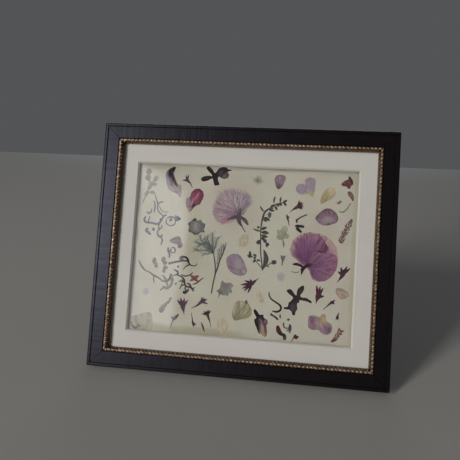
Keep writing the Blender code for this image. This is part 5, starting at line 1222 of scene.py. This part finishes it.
def hair_tree():
    """Geometry nodes that set fine hairs along ribs, leaning towards the tip on both sides."""
    tree, given = new_tree("hairs along ribs", (
        ("Geometry", "Geometry"), ("Pitch", "Float"), ("Length", "Float"), ("Width", "Float"),
        ("Seed", "Int"), ("Material", "Material")))
    curve = add(tree, "GeometryNodeMeshToCurve", {0: given["Geometry"]}).outputs[0]
    even = add(tree, "GeometryNodeResampleCurve", {"Curve": curve, "Length": given["Pitch"]}, mode="LENGTH")
    way = add(tree, "GeometryNodeInputTangent").outputs[0]
    facing = add(tree, "FunctionNodeAlignRotationToVector", {"Vector": way}, axis="X").outputs[0]
    lean = add(tree, "FunctionNodeRandomValue", {2: 0.3, 3: 0.85, "Seed": given["Seed"]}, data_type="FLOAT")
    side = add(tree, "FunctionNodeRandomValue", {"Seed": given["Seed"]}, data_type="BOOLEAN").outputs[3]
    flip = add(tree, "ShaderNodeMath", {0: side, 1: 2.0, 2: -1.0}, operation="MULTIPLY_ADD").outputs[0]
    turn = add(tree, "ShaderNodeMath", {0: lean.outputs[1], 1: flip}, operation="MULTIPLY").outputs[0]
    axis = add(tree, "FunctionNodeEulerToRotation", {
        0: add(tree, "ShaderNodeCombineXYZ", {2: turn}).outputs[0]}).outputs[0]
    rotation = add(tree, "FunctionNodeRotateRotation", {0: facing, 1: axis}, rotation_space="LOCAL")
    reach = add(tree, "FunctionNodeRandomValue", {2: 0.5, 3: 1.25, "Seed": given["Seed"]}, data_type="FLOAT")
    far = add(tree, "ShaderNodeMath", {0: reach.outputs[1], 1: given["Length"]}, operation="MULTIPLY")
    scale = add(tree, "ShaderNodeCombineXYZ", {0: far.outputs[0], 1: given["Width"], 2: 0.22}).outputs[0]
    hair = add(tree, "GeometryNodeMeshCone", {
        "Vertices": 4, "Radius Top": 0.08, "Radius Bottom": 0.5, "Depth": 1.0}).outputs[0]
    along_x = add(tree, "GeometryNodeTransform", {
        "Geometry": hair, "Rotation": (0.0, math.pi / 2, 0.0)}).outputs[0]
    hairs = add(tree, "GeometryNodeInstanceOnPoints", {
        "Points": even.outputs[0], "Instance": along_x, "Rotation": rotation.outputs[0],
        "Scale": scale}).outputs[0]
    real = add(tree, "GeometryNodeRealizeInstances", {0: hairs}).outputs[0]
    dressed = add(tree, "GeometryNodeSetMaterial", {"Geometry": real, "Material": given["Material"]})
    add(tree, "NodeGroupOutput", {0: dressed.outputs[0]})
    return tree


def add_grown(drawing, start_mesh, tree, values, turn):
    """Grows a geometry node tree from a mesh, its inputs set by identifier, and draws what it makes."""
    seedling = bpy.data.objects.new("seedling", start_mesh)
    bpy.context.scene.collection.objects.link(seedling)
    modifier = seedling.modifiers.new("grow", "NODES")
    modifier.node_group = tree
    for socket in tree.interface.items_tree:
        if socket.item_type == "SOCKET" and socket.in_out == "INPUT" and socket.name in values:
            modifier[socket.identifier] = values[socket.name]
    bpy.context.view_layer.update()
    graph = bpy.context.evaluated_depsgraph_get()
    mesh = bpy.data.meshes.new_from_object(seedling.evaluated_get(graph), depsgraph=graph)
    bpy.data.objects.remove(seedling)
    points = [tuple(turn @ v.co) for v in mesh.vertices]
    drawing.extend(points, [tuple(p.vertices) for p in mesh.polygons],
                   [GROWN_GROWTH] * len(points), [PLAIN_EDGE] * len(points))
    bpy.data.meshes.remove(mesh)


# ---------------------------------------------------------------- operators: one for each group of pieces
def dress_node(node, material):
    mesh = frame["nodes"][node].data
    mesh.materials.clear()
    mesh.materials.append(material)


class FLOWERFRAME_OT_rails(bpy.types.Operator):
    """Finish the four rails as lacquered wood"""

    bl_idname = "flower_frame.rails"
    bl_label = "Rails"

    def execute(self, context):
        for name, along_x, sides in (("black lacquered beech", True, ("top", "bottom")),
                                     ("black lacquered beech upright", False, ("left", "right"))):
            wood = lacquered_wood(name, along_x)
            for side in sides:
                dress_node("rail_" + side, wood)
        return {"FINISHED"}


class FLOWERFRAME_OT_beading(bpy.types.Operator):
    """Make the gilt strips with their beads and lobes"""

    bl_idname = "flower_frame.beading"
    bl_label = "Beading"

    def execute(self, context):
        gilding = worn_gilding()
        tree = bead_tree()
        for side in ("top", "right", "bottom", "left"):
            drawing = Drawing()
            turn, reach = side_turn(side)
            ends = [[], []]
            points = []
            for inward, depth in STRIP_SECTION:
                far = reach - inward - STRIP_END_GAP
                for end, x in zip(ends, (-far, far)):
                    end.append(len(points))
                    points.append(turn @ Vector((x, depth, -inward)))
            count = len(STRIP_SECTION)
            faces = [(ends[0][i], ends[0][(i + 1) % count], ends[1][(i + 1) % count], ends[1][i])
                     for i in range(count)]
            faces += [tuple(reversed(ends[0])), tuple(ends[1])]
            drawing.extend(points, faces, [STRIP_GROWTH] * len(points), [PLAIN_EDGE] * len(points))
            beads = round(2 * (reach - BEAD_CREST) / size("bead_pitch"))
            add_grown(drawing, bpy.data.meshes.new("start"), tree, {
                "Count": beads, "Pitch": 2 * (reach - BEAD_CREST) / beads, "Bead": size("bead_size"),
                "Lobe": size("lobe_size"), "Inward": LOBE_INWARD, "Material": gilding,
            }, turn @ Matrix.Translation((0.0, BEAD_DEPTH, -BEAD_CREST)))
            drawing.finish("gilt_beading_" + side, gilding, "frame", ("bead_strip_" + side,), "gilt")
        return {"FINISHED"}


class FLOWERFRAME_OT_mount(bpy.types.Operator):
    """Finish the window mat, the glass and the paper behind the flowers"""

    bl_idname = "flower_frame.mount"
    bl_label = "Mat, Glass and Paper"

    def execute(self, context):
        dress_node("window_mat", mat_board())
        dress_node("glass_sheet", window_glass())
        dress_node("specimen_sheet", aged_paper())
        return {"FINISHED"}


class FLOWERFRAME_OT_back(bpy.types.Operator):
    """Finish the back board, strut, hinge, screws and turn buttons"""

    bl_idname = "flower_frame.back"
    bl_label = "Back and Strut"

    def execute(self, context):
        board = fibreboard()
        steel = metal("zinc-plated steel", "#9C9C98", "#84847F", 0.4)
        brass = metal("stamped brass", "#B08A4A", "#7E6234", 0.34)
        for node in ("back_board", "easel_strut"):
            dress_node(node, board)
        for node in frame["nodes"]:
            if node.startswith(("hinge_", "screw_")):
                dress_node(node, steel)
            if node.startswith("turn_button_"):
                dress_node(node, brass)
        return {"FINISHED"}


class FLOWERFRAME_OT_petals(bpy.types.Operator):
    """Make the petals and flowers that lie on the outlines of the solids"""

    bl_idname = "flower_frame.petals"
    bl_label = "Petals"

    def execute(self, context):
        for node, (finish, base, tip, rounds, ruffle) in PETALS.items():
            drawing = Drawing()
            outline = ruffled(smoothed(node_outline(node), rounds), ruffle, wave=2.6)
            add_petal(drawing, outline, base, tip)
            finish_specimen(drawing, node + "_skin", finish, (node,))
        chance = random.Random(seed())
        for node, (finish, run, widths, count, reach) in SPIKES.items():
            drawing = Drawing()
            add_stroke(drawing, pairs(run), (0.8, 1.1, 0.9, 0.7))
            add_bracts(drawing, run, widths, count, reach, chance)
            finish_specimen(drawing, node + "_skin", finish, (node,))
        return {"FINISHED"}


class FLOWERFRAME_OT_brush_flower(bpy.types.Operator):
    """Make the brush-like lilac flower, the veins of the magenta one and both calyxes"""

    bl_idname = "flower_frame.brush_flower"
    bl_label = "Brush Flower"

    def execute(self, context):
        outline = smoothed(node_outline("lilac_flower_petals"), 1)
        shrunk = [tuple(Vector(LILAC_BASE).lerp(Vector(p), GROUND_SHARE)) for p in outline]
        ground = Drawing()
        frayed = ruffled(shrunk, amount=2.2, wave=1.7)
        add_petal(ground, frayed, LILAC_BASE, GROUND_TIP, thickness=0.14)
        finish_specimen(ground, "brush_flower_ground", "lilac petal ground", ("lilac_flower_petals",))
        for node, root, finish, count, facing, spread, back in RAYS:
            rays = Drawing()
            rim = smoothed(node_outline(node), 1)
            add_rays(rays, root, rim, count, facing, spread, back, random.Random(seed() + count))
            finish_specimen(rays, finish.replace(" ", "_") + "s", finish)
        for node, (finish, strokes) in CALYXES.items():
            drawing = Drawing()
            for run, widths in strokes:
                add_stroke(drawing, pairs(run), widths, back=ON_TOP, thickness=0.2)
            finish_specimen(drawing, node + "_skin", finish, (node,))
        return {"FINISHED"}


class FLOWERFRAME_OT_pieces(bpy.types.Operator):
    """Make the florets, sprigs, stems, twigs and loose petals"""

    bl_idname = "flower_frame.pieces"
    bl_label = "Florets and Twigs"

    def execute(self, context):
        for name, (finish, shapes) in PIECES.items():
            drawing = Drawing()
            back = shapes.get("back", LYING)
            bold = shapes.get("bold", 1.0)
            for run, widths in shapes.get("strokes", ()):
                add_stroke(drawing, pairs(run), [width * bold for width in widths], back)
            for *ends, width, bend in shapes.get("leaves", ()):
                add_leaf(drawing, ends[:2], ends[2:], width, bend, back)
            for x, up, across, along, turn in shapes.get("ovals", ()):
                rim = ruffled(oval(x, up, across * bold, along * bold, turn), amount=0.5, wave=2.4)
                add_petal(drawing, rim, (x, up - along), (x, up + along), back)
            for run, base, tip in shapes.get("petals", ()):
                rim = ruffled(smoothed(pairs(run), 2), amount=0.8, wave=1.7)
                add_petal(drawing, rim, base, tip, back, thickness=0.12, ripple=0.06)
            if "tips" in shapes:
                self.add_floret(drawing, shapes)
            replaced = (name,) if name in frame["nodes"] else ()
            finish_specimen(drawing, name + "_skin" if replaced else name, finish, replaced)
        return {"FINISHED"}

    def add_floret(self, drawing, shapes):
        """A trumpet on its stem, with a lobe to each tip."""
        throat, width, tips = shapes["throat"], shapes["width"], pairs(shapes["tips"])
        add_stroke(drawing, [throat, *pairs(shapes["stem"])], (width * 1.3, width * 0.7, 0.8, 0.5))
        middle = sum((Vector(tip) for tip in tips), Vector((0.0, 0.0))) / len(tips)
        low, high = (tuple(Vector(throat).lerp(middle, share)) for share in (-0.4, 0.8))
        add_leaf(drawing, low, high, width * 1.5)
        for i, tip in enumerate(tips):
            add_leaf(drawing, throat, tip, width * 0.7, back=LYING - LAYER * (i % 3))


class FLOWERFRAME_OT_fennel(bpy.types.Operator):
    """Make the fennel leaf and the faint star leaf"""

    bl_idname = "flower_frame.fennel"
    bl_label = "Fennel and Star"

    def execute(self, context):
        fennel = Drawing()
        for run, widths in FENNEL_STEMS:
            add_stroke(fennel, pairs(run), widths)
        finish_specimen(fennel, "fennel_stems", "fennel stem")
        hairs = Drawing()
        tree = hair_tree()
        lay = Matrix.Translation((0.0, HAIR_DEPTH, 0.0)) @ Matrix.Rotation(math.pi / 2, 4, "X")
        for ribs, reach in FENNEL_RIBS:
            mesh = bpy.data.meshes.new("ribs")
            points, edges = [], []
            for run in ribs:
                add_stroke(hairs, pairs(run), RIB_WIDTHS, rounds=1)
                first = len(points)
                points += [(x, up, 0.0) for x, up in smoothed(pairs(run), 1, closed=False)][1:]
                edges += [(i, i + 1) for i in range(first, len(points) - 1)]
            mesh.from_pydata(points, edges, [])
            add_grown(hairs, mesh, tree, {
                "Pitch": size("hair_pitch"), "Length": reach, "Width": HAIR_WIDTH, "Seed": seed(),
                "Material": dried_finish("fennel hair")}, lay)
        finish_specimen(hairs, "fennel_leaf", "fennel hair", ("fennel_sprig",))
        star = Drawing()
        chance = random.Random(seed())
        for i in range(STAR_RAYS):
            angle = math.tau * i / STAR_RAYS + chance.uniform(-0.1, 0.1)
            far = chance.uniform(*STAR_REACH)
            tip = (STAR[0] + far * math.cos(angle), STAR[1] + far * math.sin(angle))
            add_leaf(star, STAR, tip, STAR_RAY_WIDTH, rounds=1)
        finish_specimen(star, "pale_star_leaf", "star leaf")
        return {"FINISHED"}


# ---------------------------------------------------------------- floor, lights and camera
# the photograph is 460 pixels square, taken with a lens 550 of its pixels long
IMAGE_PIXELS = 460.0
FOCAL_PIXELS = 550.0
CAMERA_PLACE = (58.63, -518.18, -16.06)
CAMERA_AIM = (-11.3, 0.0, 19.24)
CAMERA_ROLL = math.radians(1.77)

# half the side of the floor, in metres
FLOOR_HALF = 3.0
# the main light, a tall soft panel in front and to the left: place, width and height, and radiance
KEY_PLACE = (-2300.0, -4000.0, 320.0)
KEY_SIZE = (840.0, 1800.0)
KEY_RADIANCE = 35.0
# a weak, wide light high behind the frame, which shows its back and leaves its front as it is
FILL_PLACE = (-500.0, 4300.0, 2600.0)
FILL_SIZE = (3000.0, 1800.0)
FILL_RADIANCE = 1.6
# the softbox that the glass mirrors as a pale veil: a flat panel with a corner cut off and a soft edge
SOFTBOX_DEPTH = -4000.0
SOFTBOX_RADIANCE = 1.7
SOFTBOX_MIDDLE = (-1400.0, 100.0)
SOFTBOX = (-968, 593, -935, 399, -930, 187, -957, 0, -973, -278, -992, -487, -1002, -640,
           -1860, -640, -1860, 1180, -1300, 812)
SOFTBOX_FADE = 0.07
WORLD_STRENGTH = 0.12


def aimed(place, aim):
    """Where a camera or light stands, in the frame's plane, turned level towards its aim."""
    here, there = PLANE @ Vector(place), PLANE @ Vector(aim)
    turn = (there - here).to_track_quat("-Z", "Y").to_matrix().to_4x4()
    return Matrix.Translation(here) @ turn


class FLOWERFRAME_OT_stage(bpy.types.Operator):
    """Make the floor, the soft lights and the camera"""

    bl_idname = "flower_frame.stage"
    bl_label = "Stage"

    def execute(self, context):
        self.make_floor()
        self.make_lamp(context.scene, "key", KEY_PLACE, KEY_SIZE, KEY_RADIANCE, "#FFFDFA")
        self.make_lamp(context.scene, "fill", FILL_PLACE, FILL_SIZE, FILL_RADIANCE, "#F4F6FF")
        self.make_softbox()
        self.make_camera(context.scene)
        world = bpy.data.worlds.new("soft studio")
        world.use_nodes = True
        ground = world.node_tree.nodes["Background"]
        ground.inputs["Color"].default_value = rgba("#DDE0E4")
        ground.inputs["Strength"].default_value = WORLD_STRENGTH
        context.scene.world = world
        context.scene.view_settings.view_transform = "Standard"
        return {"FINISHED"}

    def place_panel(self, name, mesh, material):
        mesh.materials.append(material)
        panel = bpy.data.objects.new(name, mesh)
        bpy.context.scene.collection.objects.link(panel)

    def make_floor(self):
        mesh = bpy.data.meshes.new("floor")
        half = FLOOR_HALF
        corners = [(-half, -half, 0.0), (half, -half, 0.0), (half, half, 0.0), (-half, half, 0.0)]
        mesh.from_pydata(corners, [], [(0, 1, 2, 3)])
        material, _, shader = new_material("plain pale floor", 0.9)
        shader.inputs["Base Color"].default_value = rgba("#A9A7A2")
        self.place_panel("floor", mesh, material)

    def make_lamp(self, scene, name, place, sides, radiance, code):
        lamp = bpy.data.lights.new(name, "AREA")
        lamp.shape = "RECTANGLE"
        lamp.size, lamp.size_y = (side * MM for side in sides)
        lamp.energy = radiance * math.pi * lamp.size * lamp.size_y
        lamp.color = linear(code)
        light = bpy.data.objects.new(name, lamp)
        light.matrix_world = aimed(place, (0.0, 0.0, 0.0))
        scene.collection.objects.link(light)

    def make_softbox(self):
        mesh = bpy.data.meshes.new("softbox")
        middle = Vector(SOFTBOX_MIDDLE)
        rings = [[middle.lerp(Vector(p), scale) for p in pairs(SOFTBOX)]
                 for scale in (1.0 - SOFTBOX_FADE, 1.0 + SOFTBOX_FADE)]
        count = len(rings[0])
        faces = [tuple(range(count))]
        faces += [(i, (i + 1) % count, count + (i + 1) % count, count + i) for i in range(count)]
        mesh.from_pydata([(p.x, SOFTBOX_DEPTH, p.y) for ring in rings for p in ring], [], faces)
        mesh.transform(PLANE)
        glow = mesh.attributes.new("glow", "FLOAT", "POINT")
        glow.data.foreach_set("value", [SOFTBOX_RADIANCE] * count + [0.0] * count)
        material, tree, _ = new_material("softbox cloth", 1.0)
        strength = add(tree, "ShaderNodeAttribute", attribute_name="glow").outputs["Fac"]
        light = add(tree, "ShaderNodeEmission", {"Color": rgba("#F2F0F7"), "Strength": strength})
        tree.links.new(light.outputs[0], tree.nodes["Material Output"].inputs["Surface"])
        self.place_panel("softbox", mesh, material)

    def make_camera(self, scene):
        data = bpy.data.cameras.new("camera")
        data.sensor_width = 36.0
        data.lens = FOCAL_PIXELS / IMAGE_PIXELS * data.sensor_width
        camera = bpy.data.objects.new("camera", data)
        camera.matrix_world = aimed(CAMERA_PLACE, CAMERA_AIM) @ Matrix.Rotation(CAMERA_ROLL, 4, "Z")
        scene.collection.objects.link(camera)
        scene.camera = camera


MAKERS = (
    FLOWERFRAME_OT_rails, FLOWERFRAME_OT_beading, FLOWERFRAME_OT_mount, FLOWERFRAME_OT_back,
    FLOWERFRAME_OT_petals, FLOWERFRAME_OT_brush_flower, FLOWERFRAME_OT_pieces, FLOWERFRAME_OT_fennel,
    FLOWERFRAME_OT_stage,
)


class FLOWERFRAME_PT_panel(bpy.types.Panel):
    """Lists the makers and their sizes and colours"""

    bl_idname = "FLOWERFRAME_PT_panel"
    bl_label = "Flower Frame"
    bl_space_type = "VIEW_3D"
    bl_region_type = "UI"
    bl_category = "Flower Frame"

    def draw(self, context):
        for group in (context.scene.flower_frame_sizes, context.scene.flower_frame_colours):
            for key in group.bl_rna.properties.keys():
                if key not in ("rna_type", "name"):
                    self.layout.prop(group, key)
        for maker in MAKERS:
            self.layout.operator(maker.bl_idname)


CLASSES = (FlowerFrameSizes, FlowerFrameColours, *MAKERS, FLOWERFRAME_PT_panel)


def register():
    for item in CLASSES:
        bpy.utils.register_class(item)
    bpy.types.Scene.flower_frame_sizes = PointerProperty(type=FlowerFrameSizes)
    bpy.types.Scene.flower_frame_colours = PointerProperty(type=FlowerFrameColours)


def unregister():
    del bpy.types.Scene.flower_frame_colours
    del bpy.types.Scene.flower_frame_sizes
    for item in reversed(CLASSES):
        bpy.utils.unregister_class(item)


def main():
    register()
    bpy.ops.flower_frame.rails()
    bpy.ops.flower_frame.beading()
    bpy.ops.flower_frame.mount()
    bpy.ops.flower_frame.back()
    bpy.ops.flower_frame.petals()
    bpy.ops.flower_frame.brush_flower()
    bpy.ops.flower_frame.pieces()
    bpy.ops.flower_frame.fennel()
    bpy.ops.flower_frame.stage()


if __name__ == "__main__":
    main()
